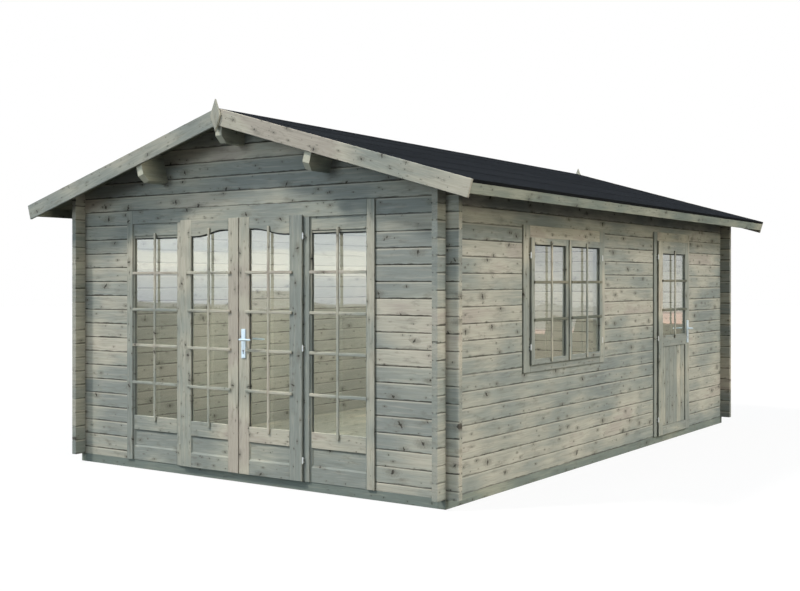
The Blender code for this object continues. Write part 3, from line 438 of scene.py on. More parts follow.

# %% [markdown]
# ## Cut ends, joints and relief
# A cut end shows its rings as circles and takes up more dirt. Edge paints a pale strip: on
# the logs it is a painted highlight beside a joint, and on the purlins it makes their sawn
# ends pale. Joint darkens the joint with painted shade and dirt. The relief is made of the
# same fibre, rings, checks and knots as the colour, so that the two agree.

# %% Finish the pine group
END_RINGS = 1400.0           # radians in a metre, so a ring is 4.5 mm wide
from_pith = net.vmath("LENGTH", net.vector(across, through))
from_pith = net.math("ADD", from_pith, net.math("MULTIPLY", field, 0.01))
pith_ring = net.math("SINE", net.math("MULTIPLY", from_pith, END_RINGS))
end_colour = net.mix(net.span(pith_ring, -1.0, 1.0, 0.0, 0.35), colour, STAIN)
colour = net.mix(net.math("MULTIPLY", given["End"], 0.75), colour, end_colour)
# painted highlight beside the log joints; on the purlins, their pale sawn ends
colour = net.mix(given["Edge"], colour, PALE)
# painted shade and dirt in the log joints
colour = net.mix(given["Joint"], colour, SEAM)

height = net.math("SUBTRACT", net.math("MULTIPLY", fibre, 0.30), net.math("MULTIPLY", ring, 0.25))
height = net.math("ADD", height, net.math("MULTIPLY", knot, 0.30))
height = net.math("SUBTRACT", height, check)
result = pine.nodes.new("NodeGroupOutput").inputs
net.feed(result["Color"], colour)
net.feed(result["Height"], height)
net.feed(result["Roughness"], net.span(fibre, 0.2, 0.8, 0.70, 0.86))
print("weathered pine has", len(pine.nodes), "nodes")

# %% [markdown]
# ## Logs
# A wall is a stack of logs, 114 mm apart, and the gable walls start half a log lower than
# the side walls, which is what lets the logs cross at the corners. The CAD meshes hold the
# V joints and the crossed corners, so they stay as they are, and all the rest is left to
# the material. First come the measures that it works with, and the step that logs and
# boards share: the pine group joined to a shader, with a fine relief.

# %% Log measures and the shared pine finish
COURSE = 0.114
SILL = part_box("left_wall")[0].z
HALF_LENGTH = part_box("rear_wall")[1].y
HALF_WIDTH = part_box("right_wall_middle")[1].x
LOG = 0.044
END_FACING = 0.6             # a face is a sawn end if its normal lies this much along the grain


def finish_pine(net, shader, grain, place, tone, end, joint=0.0, edge=0.0, inside=0.0, tint=None):
    """Join the pine group to a shader; tint multiplies its colour."""
    group = net.tree.nodes.new("ShaderNodeGroup")
    group.node_tree = pine
    for label, value in (("Grain", grain), ("Place", place), ("Tone", tone), ("End", end),
                         ("Joint", joint), ("Edge", edge), ("Inside", inside)):
        net.feed(group.inputs[label], value)
    relief = net.relief(group.outputs["Height"], 0.6, 0.0012)
    colour = group.outputs["Color"]
    net.feed(shader.inputs["Base Color"], net.mix(1.0, colour, (*tint, 1.0), "MULTIPLY") if tint else colour)
    net.feed(shader.inputs["Roughness"], group.outputs["Roughness"])
    net.feed(shader.inputs["Normal"], relief)
    shader.inputs["Specular IOR Level"].default_value = 0.2


print("the lowest side log starts at", round(SILL, 3), "and the cabin is", round(2 * HALF_WIDTH, 3), "m wide")

# %% [markdown]
# ## Which log is it?
# Each log could be a mesh of its own with its own number, but the CAD model has one mesh
# for a whole wall. The height is enough: divided by the distance between two logs it gives
# the log's number, and what is left over is the place across the log. The number then draws
# the log's own random patch of the pattern.

# %% Place within a log
LOG_SHIFT = 40.0             # metres of pattern to draw each log from
NUMBER_SHIFT = 3.7


def log_place(net, along, through, z, offset, seed):
    """Gives the place across the log, the log's random values and the place in the pattern."""
    level = net.math("ADD", net.math("DIVIDE", net.math("SUBTRACT", z, SILL), COURSE), offset)
    number = net.math("FLOOR", level)
    across = net.math("MULTIPLY", net.math("SUBTRACT", net.math("FRACT", level), 0.5), COURSE)
    wall = net.math("ADD", net.math("GREATER_THAN", through, 0.0), seed)
    luck = net.node("TexWhiteNoise", {"noise_dimensions": "3D"}, Vector=net.vector(number, wall)).outputs
    shift = net.math("MULTIPLY", luck["Value"], LOG_SHIFT)
    grain = net.vector(net.math("ADD", along, shift),
                       net.math("ADD", across, net.math("MULTIPLY", number, NUMBER_SHIFT)),
                       net.math("ADD", through, shift))
    return across, luck, grain


# %% [markdown]
# ## Joints between logs
# The material paints the V joints dark, with dirt and painted shade together. A log's lower
# edge gets painted shade with a ragged border, and only a hair of its upper edge is dark;
# the pale strip below that hair is a painted highlight, where the edge would catch the light.
# On a cut end the joint is tight, apart from the V at the two faces. Modelling the dirt and
# the shade as geometry would change the CAD meshes, so the material draws them.

# %% Joint shading
SHADE_END, SHADE_FULL = 0.0105, 0.0045     # from the log's lower edge upwards
HAIR_END, HAIR_FULL = 0.0030, 0.0008       # from its upper edge downwards
LIGHT_END, LIGHT_FULL = 0.0150, 0.0085     # the pale strip, from its upper edge downwards
V_END, V_FULL = 0.016, 0.008               # the V on a cut end, from the wall's face inwards


def log_joint(net, grain, across, through, end, face, grime_and_shade):
    """How far a place lies in the dark of a joint, which is painted shade and soiling, and how far in the painted
    highlight on the edge beside it.
    """
    ragged = net.noise(net.vmath("MULTIPLY", grain, (11.0, 1.0, 1.0)))
    low = net.math("ADD", across, net.span(ragged, 0.32, 0.68, 0.0030, -0.0045))
    # painted shade along a log's lower edge, with a ragged border
    under = net.step(low, SHADE_END - COURSE / 2, SHADE_FULL - COURSE / 2)
    over = net.step(across, COURSE / 2 - HAIR_END, COURSE / 2 - HAIR_FULL)
    deep = net.math("SUBTRACT", face, net.math("ABSOLUTE", through))
    near_face = net.math("MAXIMUM", net.step(deep, V_END, V_FULL), net.step(deep, LOG - V_END, LOG - V_FULL))
    open_joint = net.math("MAXIMUM", net.math("SUBTRACT", 1.0, end), net.math("MULTIPLY", near_face, 0.75))
    uneven = net.noise(net.vmath("MULTIPLY", grain, (3.2, 1.0, 1.0)), detail=3.0, roughness=0.6)
    # the joints' painted shade and dirt, uneven along the log
    dirt_and_shade = net.math("MULTIPLY", net.span(uneven, 0.35, 0.60, 0.40 * grime_and_shade, grime_and_shade), open_joint)
    joint = net.math("MULTIPLY", net.math("MAXIMUM", under, over), dirt_and_shade)
    # painted highlight: the pale strip under a log's upper edge stands for the light that the edge catches
    edge = net.math("MULTIPLY", net.step(across, COURSE / 2 - LIGHT_END, COURSE / 2 - LIGHT_FULL),
                    net.math("MULTIPLY", net.math("SUBTRACT", 1.0, end), 0.45))
    return joint, edge


print("a joint's shade reaches", round(SHADE_END / COURSE, 2), "of the way up a log")

# %% [markdown]
# ## The logs' materials
# Both pairs of walls are made of the same logs, but those of the gables lie along X, start
# half a log lower and get darker painted shade in their joints. Two materials from one
# function keep all the rest alike. Inside the room, where no weather comes, the wood is
# given a fresher colour.

# %% Log materials
def log_material(name, run, offset, seed, grime_and_shade, tones, tint):
    """Pine for stacked logs that lie along X or Y; offset is in courses, the number after seed
    is how dark the joints' painted shade and soiling are, and tones are the limits of the logs' own tones."""
    material, net, shader = new_material(name)
    place = net.node("TexCoord").outputs["Object"]
    x, y, z = net.parts(place)
    along, through = (x, y) if run == "X" else (y, x)
    face = HALF_LENGTH if run == "X" else HALF_WIDTH
    across, luck, grain = log_place(net, along, through, z, offset, seed)
    facing = net.parts(net.node("NewGeometry").outputs["Normal"])[0 if run == "X" else 1]
    end = net.math("GREATER_THAN", net.math("ABSOLUTE", facing), END_FACING)
    joint, edge = log_joint(net, grain, across, through, end, face, grime_and_shade)
    room = net.math("MULTIPLY", net.math("LESS_THAN", net.math("ABSOLUTE", x), HALF_WIDTH - LOG / 2),
                    net.math("LESS_THAN", net.math("ABSOLUTE", y), HALF_LENGTH - LOG / 2))
    tone = net.span(net.parts(luck["Color"])[1], 0.0, 1.0, *tones)
    # The weather's patches are a little out of step from log to log.
    place = net.vmath("ADD", place, net.vmath("MULTIPLY", luck["Color"], (0.25, 0.25, 0.10)))
    finish_pine(net, shader, grain, place, tone, end, joint, edge, room, tint=tint)
    return material


def dress(nodes, material):
    """Give CAD nodes a new material."""
    for node in nodes:
        cad[node].data.materials.clear()
        cad[node].data.materials.append(material)


GABLE_LOGS = ("front_wall_left", "front_wall_right", "front_gable", "rear_wall")
SIDE_LOGS = ("left_wall", "right_wall_lower", "right_wall_front", "right_wall_middle", "right_wall_rear",
             "right_wall_top")
# The gables' joints get darker painted shade than the side walls'.
dress(GABLE_LOGS, log_material("pine_gable_logs", "X", 0.5, 5, 0.90, (-0.15, 1.00), (1.11, 1.09, 1.11)))
dress(SIDE_LOGS, log_material("pine_side_logs", "Y", 0.0, 11, 0.72, (0.15, 0.85), (0.965, 0.98, 1.025)))
print("logs dressed:", len(GABLE_LOGS + SIDE_LOGS))

# %% [markdown]
# ## Boards
# Frames, sashes, trim, bargeboards and floors are all sawn boards. A cube scaled to size
# would give the outline but none of what makes it read as timber, so one helper makes every
# board: it draws the board's section or face as an outline, gives it a thickness, and
# rounds off all its edges a little, as a plane does. It also writes three things on the
# mesh for the pine material: where each point lies along, across and through the board, a
# random tone for the board, and which faces are sawn ends. Boards of one piece are gathered
# into one mesh, and each stays a closed body of its own.

# %% Board helper
chance = random.Random(20)
HAIR = 0.0003                # the gap between two boards that touch
# The two directions that an outline is drawn in, and the one that it is given its depth in.
DRAWN = {"x": (1, 2, 0), "y": (0, 2, 1), "z": (0, 1, 2)}


class Timber:
    """Gathers the boards of one piece; wall is the matrix from their own space to the cabin's."""

    def __init__(self, wall):
        self.wall = wall
        self.points = []
        self.faces = []
        self.grain = []
        self.tone = []
        self.end = []

    def board(self, outline, low, high, axis="y", run="x", ease=0.0015, tone=None, shift=None, turn=0.0):
        """A board from an outline and its depth along axis. run is the way its grain goes, and
        turn leans that in the outline's plane. Gives back its tone and shift for a matching board."""
        first, second, deep = DRAWN[axis]
        shape = bmesh.new()
        ring = []
        for depth in (low, high):
            for a, b in outline:
                place = [0.0, 0.0, 0.0]
                place[first], place[second], place[deep] = a, b, depth
                ring.append(shape.verts.new(place))
        count = len(outline)
        shape.faces.new(ring[:count])
        shape.faces.new(ring[count:][::-1])
        for i in range(count):
            j = (i + 1) % count
            shape.faces.new((ring[j], ring[i], ring[count + i], ring[count + j]))
        bmesh.ops.recalc_face_normals(shape, faces=shape.faces)
        shape.edges.ensure_lookup_table()
        sharp = [e for e in shape.edges if e.calc_face_angle(0.0) > 0.5]
        if ease:
            bmesh.ops.bevel(shape, geom=sharp, offset=ease, segments=1, affect="EDGES", clamp_overlap=True)
        way = Vector([float(run == name) for name in "xyz"])
        side = Vector([float(i in (first, second) and run != "xyz"[i]) for i in range(3)])
        if run == "xyz"[deep]:
            # Seen along the grain: the board's face is the outline's longer way.
            spread = [max(p[n] for p in outline) - min(p[n] for p in outline) for n in (0, 1)]
            side = Vector([float(i == (first if spread[0] > spread[1] else second)) for i in range(3)])
        way, side = way * math.cos(turn) + side * math.sin(turn), side * math.cos(turn) - way * math.sin(turn)
        other = way.cross(side)
        tone = chance.random() if tone is None else tone
        shift = shift or (chance.uniform(0, 90), chance.uniform(0, 90), chance.uniform(0, 9))
        start = len(self.points)
        for v in shape.verts:
            self.points.append(self.wall @ v.co)
            self.grain.append((v.co.dot(way) + shift[0], v.co.dot(side) + shift[1], v.co.dot(other) + shift[2]))
            self.tone.append(tone)
        shape.verts.index_update()
        for f in shape.faces:
            self.faces.append([start + v.index for v in f.verts])
            self.end.append(float(abs(f.normal.dot(way)) > END_FACING))
        shape.free()
        return tone, shift

    def box(self, left, right, low, high, foot, top, run="x", **options):
        """A plain board from its limits along X, Y and Z."""
        return self.board([(left, foot), (right, foot), (right, top), (left, top)], low, high, "y", run, **options)

    def piece(self, name, material, body="cabin", stands_for=()):
        """Make the object, let it ride on its body and stand for its CAD nodes."""
        mesh = bpy.data.meshes.new(name)
        mesh.from_pydata(self.points, [], self.faces)
        grain = mesh.attributes.new("grain", "FLOAT_VECTOR", "POINT")
        grain.data.foreach_set("vector", np.array(self.grain, np.float32).ravel())
        tone = mesh.attributes.new("tone", "FLOAT", "POINT")
        tone.data.foreach_set("value", np.array(self.tone, np.float32))
        end = mesh.attributes.new("sawn_end", "FLOAT", "FACE")
        end.data.foreach_set("value", np.array(self.end, np.float32))
        mesh.materials.append(material)
        obj = bpy.data.objects.new(name, mesh)
        bpy.context.scene.collection.objects.link(obj)
        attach(obj, body)
        if stands_for:
            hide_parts(*stands_for)
        print(f"{name}: {len(self.faces)} faces on {body}")


print("board helper ready, with", len(DRAWN), "ways to draw an outline")

# %% [markdown]
# ## Finishes for boards
# All boards are the same pine as the logs, but they carry their own grain. What was planed
# has a finer pattern, what faces the weather on the roof's edge has gone darker, and the
# ground beams were soaked deeper against rot. The roof boards' darker tint is painted shade
# for the dark under the roof, and so is the cross bars' dark tint. One material with a tint
# for each of them keeps them alike.

# %% Board materials
def board_material(name, tint, inside=0.0, fine=1.0):
    """Pine for boards, which carry their own grain; tint multiplies its colour and fine makes
    its pattern smaller."""
    material, net, shader = new_material(name)
    grain = net.vmath("MULTIPLY", net.node("Attribute", {"attribute_name": "grain"}).outputs["Vector"],
                      (fine, fine, fine))
    tone = net.node("Attribute", {"attribute_name": "tone"}).outputs["Fac"]
    end = net.node("Attribute", {"attribute_name": "sawn_end"}).outputs["Fac"]
    place = net.node("TexCoord").outputs["Object"]
    finish_pine(net, shader, grain, place, tone, end, inside=inside, tint=tint)
    return material


joinery_pine = board_material("pine_joinery", (1.07, 1.055, 1.065), fine=1.25)
barge_pine = board_material("pine_bargeboards", (1.0, 0.99, 1.01), fine=1.35)
edge_pine = board_material("pine_roof_edges", (0.75, 0.80, 0.80), fine=1.2)
beam_pine = board_material("pine_ground_beams", (0.76, 0.81, 0.80))
floor_pine = board_material("pine_floor", (1.16, 1.13, 1.08), 0.4)
# dark tint: painted shade on the bars that lie across on the long wall
bar_pine_painted_shade = board_material("pine_cross_bars_painted_shade", (0.50, 0.50, 0.46))
# darker tint: painted shade for the dark under the roof
roof_pine_painted_shade = board_material("pine_roof_boards_painted_shade", (0.55, 0.57, 0.50))
print("pines in use:", [m.name for m in bpy.data.materials if m.name.startswith("pine")])

# %% [markdown]
# ## Measuring from the frame
# Every board's place comes from the CAD model. Two walls carry joinery: the front, and the
# right side. For each there is a matrix that turns wall measures into places: along the
# wall, across it (0 at the logs' outer face, plus inwards) and up.

# %% Wall measures
FRONT = Matrix.Translation((0.0, -HALF_LENGTH, 0.0))
RIGHT = Matrix.Translation((HALF_WIDTH, -HALF_LENGTH, 0.0)) @ Matrix.Rotation(math.pi / 2, 4, "Z")
PLAIN = Matrix.Identity(4)


class Span:
    """A CAD node's limits in a wall's own measures."""

    def __init__(self, node, wall, shrink=0.0):
        corners = [wall.inverted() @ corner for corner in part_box(node)]
        low = [min(c[i] for c in corners) for i in range(3)]
        high = [max(c[i] for c in corners) for i in range(3)]
        self.left, self.front, self.foot = low[0] + shrink, low[1], low[2] + shrink
        self.right, self.back, self.top = high[0] - shrink, high[1], high[2] - shrink


frame_span = Span("front_frame", FRONT)
print("front opening is", round(frame_span.right - frame_span.left, 3), "m wide")

# %% [markdown]
# ## Ground beams
# Four treated beams lie on the ground and carry the walls. They are darker and greener than
# the logs, because they are soaked deeper against rot, and those under the gables are the
# darkest, which their tones take up.

# %% Ground beams
BEAMS = ("foundation_front", "foundation_rear", "foundation_left", "foundation_right")
ground = Timber(PLAIN)
for node in BEAMS:
    low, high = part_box(node)
    across_cabin = node in ("foundation_front", "foundation_rear")
    ground.board([(low.x, low.z), (high.x, low.z), (high.x, high.z), (low.x, high.z)], low.y, high.y,
                 run="x" if across_cabin else "y", ease=0.002,
                 tone=chance.uniform(-0.60, -0.20) if across_cabin else chance.uniform(0.20, 0.50))
ground.piece("ground_beams", beam_pine, stands_for=BEAMS)

# %% [markdown]
# ## Floor
# The floor boards lie along the cabin on nine bearers. Each board is its own board with
# eased edges, so fine dark lines show between them, and the last one at each side is ripped
# narrower to fit.

# %% Floor boards and bearers
BOARD_COVER = 0.087
BOARD_THICK = 0.019
WALL_GAP = 0.005             # room for the boards to swell
BEARERS = 9
BEARER = 0.045
BEARER_SHORTER = 0.001
low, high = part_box("floor")
deck = Timber(PLAIN)
half = HALF_WIDTH - LOG - WALL_GAP
end_y = HALF_LENGTH - LOG - WALL_GAP
count = math.ceil(2 * half / BOARD_COVER)
edge = -half
for i in range(count):
    far = min(half, edge + BOARD_COVER)
    if i == 0:
        far = edge + (2 * half - (count - 2) * BOARD_COVER) / 2
    deck.box(edge + HAIR, far - HAIR, -end_y, end_y, high.z - BOARD_THICK, high.z, run="y", ease=0.001)
    edge = far
bay = 2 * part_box("foundation_rear")[0].y / (BEARERS + 1)
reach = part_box("foundation_right")[0].x - BEARER_SHORTER
for i in range(BEARERS):
    middle = -bay * (BEARERS + 1) / 2 + (i + 1) * bay
    deck.box(-reach, reach, middle - BEARER / 2, middle + BEARER / 2, low.z, high.z - BOARD_THICK - HAIR,
             ease=0.002)
deck.piece("floor_boards", floor_pine, stands_for=["floor"])
print("floor:", count, "boards of", BOARD_COVER, "m, bearers", round(bay, 3), "m apart")

# %% [markdown]
# ## Purlins
# Three deep beams run the length of the cabin and carry the roof. Their bevelled ends show
# under the overhang at both gables. The ridge purlin stands upright; the other two lean
# with their slopes. Their CAD meshes stay, and only the grain has to be turned along them.

# %% Purlin material
PURLINS = ("ridge_purlin", "purlin_left", "purlin_right")
PER_PURLIN = 1.15            # rounds the purlins' places across the cabin to 0, -1 and 1
PURLIN_SHIFT = (13.0, 3.1)   # metres of pattern from one purlin to the next
PURLIN_TONE = 0.55
purlin_pine, net, shader = new_material("pine_purlins")
place = net.node("TexCoord").outputs["Object"]
x, y, z = net.parts(place)
number = net.math("ROUND", net.math("MULTIPLY", x, PER_PURLIN))
facing = net.parts(net.node("NewGeometry").outputs["Normal"])[1]
end = net.math("GREATER_THAN", net.math("ABSOLUTE", facing), END_FACING)
grain = net.vector(net.math("ADD", y, net.math("MULTIPLY", number, PURLIN_SHIFT[0])),
                   net.math("ADD", z, net.math("MULTIPLY", number, PURLIN_SHIFT[1])), x)
finish_pine(net, shader, grain, place, PURLIN_TONE, end, edge=net.math("MULTIPLY", end, 0.55),
            tint=(1.15, 1.18, 1.17))
dress(PURLINS, purlin_pine)

# %% [markdown]
# ## Front frame
# The doors hang in a frame of solid posts: a jamb at each side, two mullions, a head and a
# threshold. Around the doorway runs a rebate that the leaves close into, and the mullions
# stand a little proud of the logs, flush with the trim. Each of these is one board or two.

# %% Front frame timbers
TRIM = 0.014
STOP_DEPTH = 0.015           # how far the rebate's stop stands into the opening
STOP_FRONT = 0.015           # and how far behind the logs' face it starts
THRESHOLD = 0.030
MULLION_IN, MULLION_OUT = 0.595, 0.660
POST_EASE = 0.002
jamb = Span("side_light_right", FRONT).right + HAIR
head = Span("side_light_right", FRONT).top + HAIR
foot, top, back = frame_span.foot, frame_span.top, frame_span.back

posts = Timber(FRONT)
posts.box(frame_span.left, frame_span.right, 0.0, back, head, top, ease=POST_EASE)
stop_in = MULLION_IN - STOP_DEPTH
posts.box(-stop_in, stop_in, STOP_FRONT, back, head - STOP_DEPTH, head)
posts.box(-MULLION_IN, MULLION_IN, 0.0, back, foot, foot + THRESHOLD, ease=POST_EASE)
posts.box(-stop_in, stop_in, STOP_FRONT, back, foot + THRESHOLD, foot + THRESHOLD + STOP_DEPTH)
for sign in (-1, 1):
    for near, far, front, low_end, tone in (
            (jamb, frame_span.right, 0.0, foot, 0.3),
            (MULLION_IN, MULLION_OUT, -TRIM, foot, 0.9 if sign < 0 else -1.0),
            (stop_in, MULLION_IN, STOP_FRONT, foot + THRESHOLD, 0.3)):
        left, right = sorted((sign * near, sign * far))
        posts.box(left, right, front, back, low_end, head, run="z", ease=POST_EASE, tone=tone)
posts.piece("front_frame_timbers", joinery_pine, stands_for=["front_frame"])

# %% [markdown]
# ## Trim
# Flat boards cover the gap between logs and frame. The uprights run full height and the
# head fits between them, so the joints show as two short upright lines.

# %% Trim boards
def trim_boards(name, node, wall, reveal_left, reveal_right, head_foot, tones, sill_top=None):
    """Trim round an opening: reveal_left and reveal_right are the inner edges of its uprights,
    and tones are for the left and right upright, the head and the sill."""
    s = Span(node, wall)
    made = Timber(wall)
    made.box(s.left, reveal_left, s.front, s.back, s.foot, s.top, run="z", ease=POST_EASE, tone=tones[0])
    made.box(reveal_right, s.right, s.front, s.back, s.foot, s.top, run="z", ease=POST_EASE, tone=tones[1])
    made.box(reveal_left, reveal_right, s.front, s.back, head_foot, s.top, ease=POST_EASE, tone=tones[2])
    if sill_top is not None:
        made.box(reveal_left, reveal_right, s.front, s.back, s.foot, sill_top, ease=POST_EASE, tone=tones[3])
    made.piece(name, joinery_pine, stands_for=[node])


trim_boards("front_trim_boards", "front_trim", FRONT, -jamb, jamb, head, (0.15, 1.20, 0.10))

# %% [markdown]
# ## Glazed sashes
# Side lights, doors and casements are all built alike: two stiles, rails between them, a
# sheet of glass, and on the doors and side lights a sunk panel below. A leaf has two
# layers. The front one is a lip that laps over the frame and holds the glass from outside,
# and the core behind it is smaller all round. The joiner would cut both from one timber, so
# both layers of a rail share one run of grain.
#
# The doors' top rails are cut to a soft S that rises to the meeting stiles. Drawing that
# curve as an outline keeps it exact on the lip and lets the core follow 6 mm behind it.

# %% Arch helper
ARCH_SHOULDER = 0.12         # the straight part at each end of the S, as a share of its width


def arch(left, right, low, rise, toward, steps=16):
    """The soft S of an arched rail from left to right, rising by rise towards one side."""
    line = []
    for i in range(steps + 1):
        share = ARCH_SHOULDER + (1 - 2 * ARCH_SHOULDER) * i / steps
        up = (1 - math.cos(math.pi * i / steps)) / 2
        line.append((left + (right - left) * share, low + rise * (up if toward > 0 else 1 - up)))
    return [(left, line[0][1])] + line + [(right, line[-1][1])]


print("an arch rises by", [round(z, 3) for _, z in arch(0.0, 1.0, 0.0, 1.0, 1, steps=4)])

# %% [markdown]
# ## Sash timbers
# A sash is put together from its two layers. The side lights have no arch: there a slim bead
# lies a little sunk under a straight top rail, with a dark gap above it. The panel below the
# glass lies deeper than its stiles and rails, and a slanting moulding leads down to it all
# round. A bevel on the panel itself would look much the same, but the real moulding is a strip
# of its own, and the light on its slope is what makes the panel look sunk.

# %% Sash helper
LIP = 0.015
REBATE = 0.006               # how far the core stands back from the lip around the glass
GLASS_HIDDEN = 0.005         # how far the sheet of glass reaches behind the lip
SASH_EASE, BEAD_EASE = 0.0018, 0.0015
BEAD, BEAD_SUNK, BEAD_GAP = 0.018, 0.006, 0.0055
PANEL_SUNK = 0.012
MOULDING, MOULDING_SUNK = 0.011, 0.0015


def fresh_timber(tone):
    """The look of a new piece of timber, for boards that are cut from the same one."""
    return {"tone": tone, "shift": (chance.uniform(0, 90), chance.uniform(0, 90), chance.uniform(0, 9))}


def glazed_sash(made, outer, core, sight, front, back, rails, tones, rise=0.0, toward=1, bead=0.0):
    """Two stiles and their rails. outer, core and sight are (left, right, foot, top); rails are
    (foot, top) pairs below the glass; tones are for the stiles, the top rail and the rails. A
    bead is the height of a sunk strip between the glass and a straight top rail."""
    timbers = [fresh_timber(tone) for tone in tones]
    for low, high, (left, right, foot, top), grow in (
            (front, front + LIP, outer, 0.0), (front + LIP, back, core, REBATE)):
        glass_left, glass_right = sight[0] - grow, sight[1] + grow
        made.box(left, glass_left, low, high, foot, top, run="z", ease=SASH_EASE, **timbers[0])
        made.box(glass_right, right, low, high, foot, top, run="z", ease=SASH_EASE, **timbers[1])
        under = sight[3] + (grow or bead)
        line = arch(glass_left, glass_right, under, rise, toward) if rise else [
            (glass_left, under), (glass_right, under)]
        made.board(line + [(glass_right, top), (glass_left, top)], low, high, ease=SASH_EASE, **timbers[2])
        for n, (rail_foot, rail_top) in enumerate(rails):
            made.box(glass_left, glass_right, low, high, max(rail_foot, foot),
                     rail_top - (grow if n == 0 else 0.0), ease=SASH_EASE, **timbers[3 + n])
    if bead:
        made.box(sight[0] + HAIR, sight[1] - HAIR, front + BEAD_SUNK, front + LIP - HAIR,
                 sight[3], sight[3] + bead - BEAD_GAP, ease=BEAD_EASE, **timbers[2])


def sunk_panel(made, left, right, foot, top, front, back, tone):
    """A panel that lies behind its stiles and rails, with a slanting moulding round it."""
    tone, shift = made.box(left, right, front + PANEL_SUNK, back - PANEL_SUNK, foot, top, ease=0, tone=tone)
    near, far = front + MOULDING_SUNK, front + PANEL_SUNK
    look = {"ease": 0, "tone": tone, "shift": shift}
    for z, way in ((foot, 1), (top, -1)):
        made.board([(near, z), (far, z), (far, z + way * MOULDING)], left, right, "x", **look)
    for x, way in ((left, 1), (right, -1)):
        made.board([(x, near), (x, far), (x + way * MOULDING, far)], foot, top, "z", "z", **look)


print("a sash's lip is", LIP, "m thick and laps", GLASS_HIDDEN, "m over the glass")

# %% [markdown]
# ## Glazing seals and shade lines
# A dark cord lies in the corner between the glass and the wood, at the top and both sides of
# each pane. It stands for a rubber seal and also paints the shade line that the rails and
# stiles throw on the pane, so it is wider at the top, where that shade is deepest, and left
# out at the foot, where no shade line falls. It is only a few millimetres wide, but it draws
# a thin dark line that the eye expects round a pane.

# %% Seal helper
SEAL_WIDTH = 0.0050
# The top cord is wider, for the deeper painted shade under the top rail.
TOP_SEAL_WIDTH = 0.0100
SEAL_DEPTH = 0.0040
SEAL_EASE = 0.0012
seal_and_shade_cord = mottled("seal_and_shade_cord", (60.0, 60.0, 60.0), paint(22, 24, 22), paint(46, 47, 42), (0.55, 0.80))


def seals_and_shade_lines(name, wall, sight, glass_front, body="cabin", rise=0.0, toward=1):
    """Dark cords in front of the glass, along the sides and the top: each stands for a rubber seal and paints the
    shade line round a pane.
    """
    made = Timber(wall)
    low, high = glass_front - SEAL_DEPTH, glass_front
    left, right, foot, top = sight
    left_top, right_top = top + (rise if toward < 0 else 0.0), top + (rise if toward > 0 else 0.0)
    made.box(left, left + SEAL_WIDTH, low, high, foot, left_top, run="z", ease=SEAL_EASE)
    made.box(right - SEAL_WIDTH, right, low, high, foot, right_top, run="z", ease=SEAL_EASE)
    line = arch(left, right, top, rise, toward) if rise else [(left, top), (right, top)]
    made.board(line + [(x, z - TOP_SEAL_WIDTH) for x, z in line[::-1]], low, high, ease=SEAL_EASE)
    made.piece(name, seal_and_shade_cord, body)


print("seals are", SEAL_WIDTH, "m wide, at the top", TOP_SEAL_WIDTH, "m")

# %% [markdown]
# ## Glazing bars
# Slim bars divide each pane into small squares. On the real cabin they are a loose grid
# that is pinned to the face of the sash: the bars are half-lapped where they cross, and
# their ends run on a little over stiles and rails.

# %% Glazing bar helper
BAR_WIDTH = 0.022
BAR_DEPTH = 0.013
BAR_EASE = 0.003


def bar_grid(made, sight, front, levels, side_lap=0.030, end_lap=0.038, rise=0.0, cross=None):
    """One upright bar and the bars across, standing out from the sash's front face. cross is
    where the bars across are gathered, if they are a piece of their own."""
    cross = cross or made
    half = BAR_WIDTH / 2
    middle = (sight[0] + sight[1]) / 2
    made.box(middle - half, middle + half, front - BAR_DEPTH, front, sight[2] - end_lap, sight[3] + end_lap + rise,
             run="z", ease=BAR_EASE, tone=chance.uniform(0.55, 1.05))
    for level in levels:
        timber = fresh_timber(chance.uniform(0.35, 0.95))
        for a, b in ((sight[0] - side_lap, middle - half), (middle + half, sight[1] + side_lap)):
            cross.box(a, b, front - BAR_DEPTH, front, level - half, level + half, ease=BAR_EASE, **timber)


print("bars are", BAR_WIDTH, "by", BAR_DEPTH, "m")

# %% [markdown]
# ## Side lights
# A fixed, glazed light stands at each side of the doors. It is built as a leaf is, but it
# never opens, so it has no lap, and its top rail is straight with a bead under it. Its bars
# and rails are at the same heights as the doors', so that their lines run on across the front.

# %% Side lights
BAR_LEVELS = [SILL + z for z in (1.495, 1.205, 0.920, 0.622)]
RAIL_TOP, PANEL_TOP, PANEL_FOOT = 0.357, 0.244, 0.108
LIGHT_TONES = {"left": (0.15, 0.30, 0.20, 0.95, 0.10), "right": (-0.10, 0.20, 0.10, 0.85, 0.10)}
for side, tones in LIGHT_TONES.items():
    s = Span("side_light_" + side, FRONT)
    g = Span(f"side_light_{side}_glass", FRONT, GLASS_HIDDEN)
    sight = (g.left, g.right, g.foot, g.top)
    outer = (s.left, s.right, s.foot, s.top)
    made = Timber(FRONT)
    glazed_sash(made, outer, outer, sight, s.front, s.back,
                [(SILL + PANEL_TOP, SILL + RAIL_TOP), (SILL, SILL + PANEL_FOOT)], tones, bead=BEAD)
    sunk_panel(made, g.left, g.right, SILL + PANEL_FOOT, SILL + PANEL_TOP, s.front, s.back, tones[-1])
    bar_grid(made, sight, s.front, BAR_LEVELS, side_lap=0.012)
    made.piece(f"side_light_{side}_sash", joinery_pine, stands_for=["side_light_" + side])
    seals_and_shade_lines(f"side_light_{side}_seals", FRONT, sight, g.front)

# %% [markdown]
# ## Front doors
# Two leaves meet in the middle. Each hangs on three barrel hinges at its mullion and laps 12 mm
# over the frame with its lip. The tops of their panes are the two halves of one shallow arch.
# A leaf rides on its own body, so it swings with its joint. One leaf could be mirrored to make
# the other, but no two real boards are alike: both are built by the same loop, each with its
# own tones.

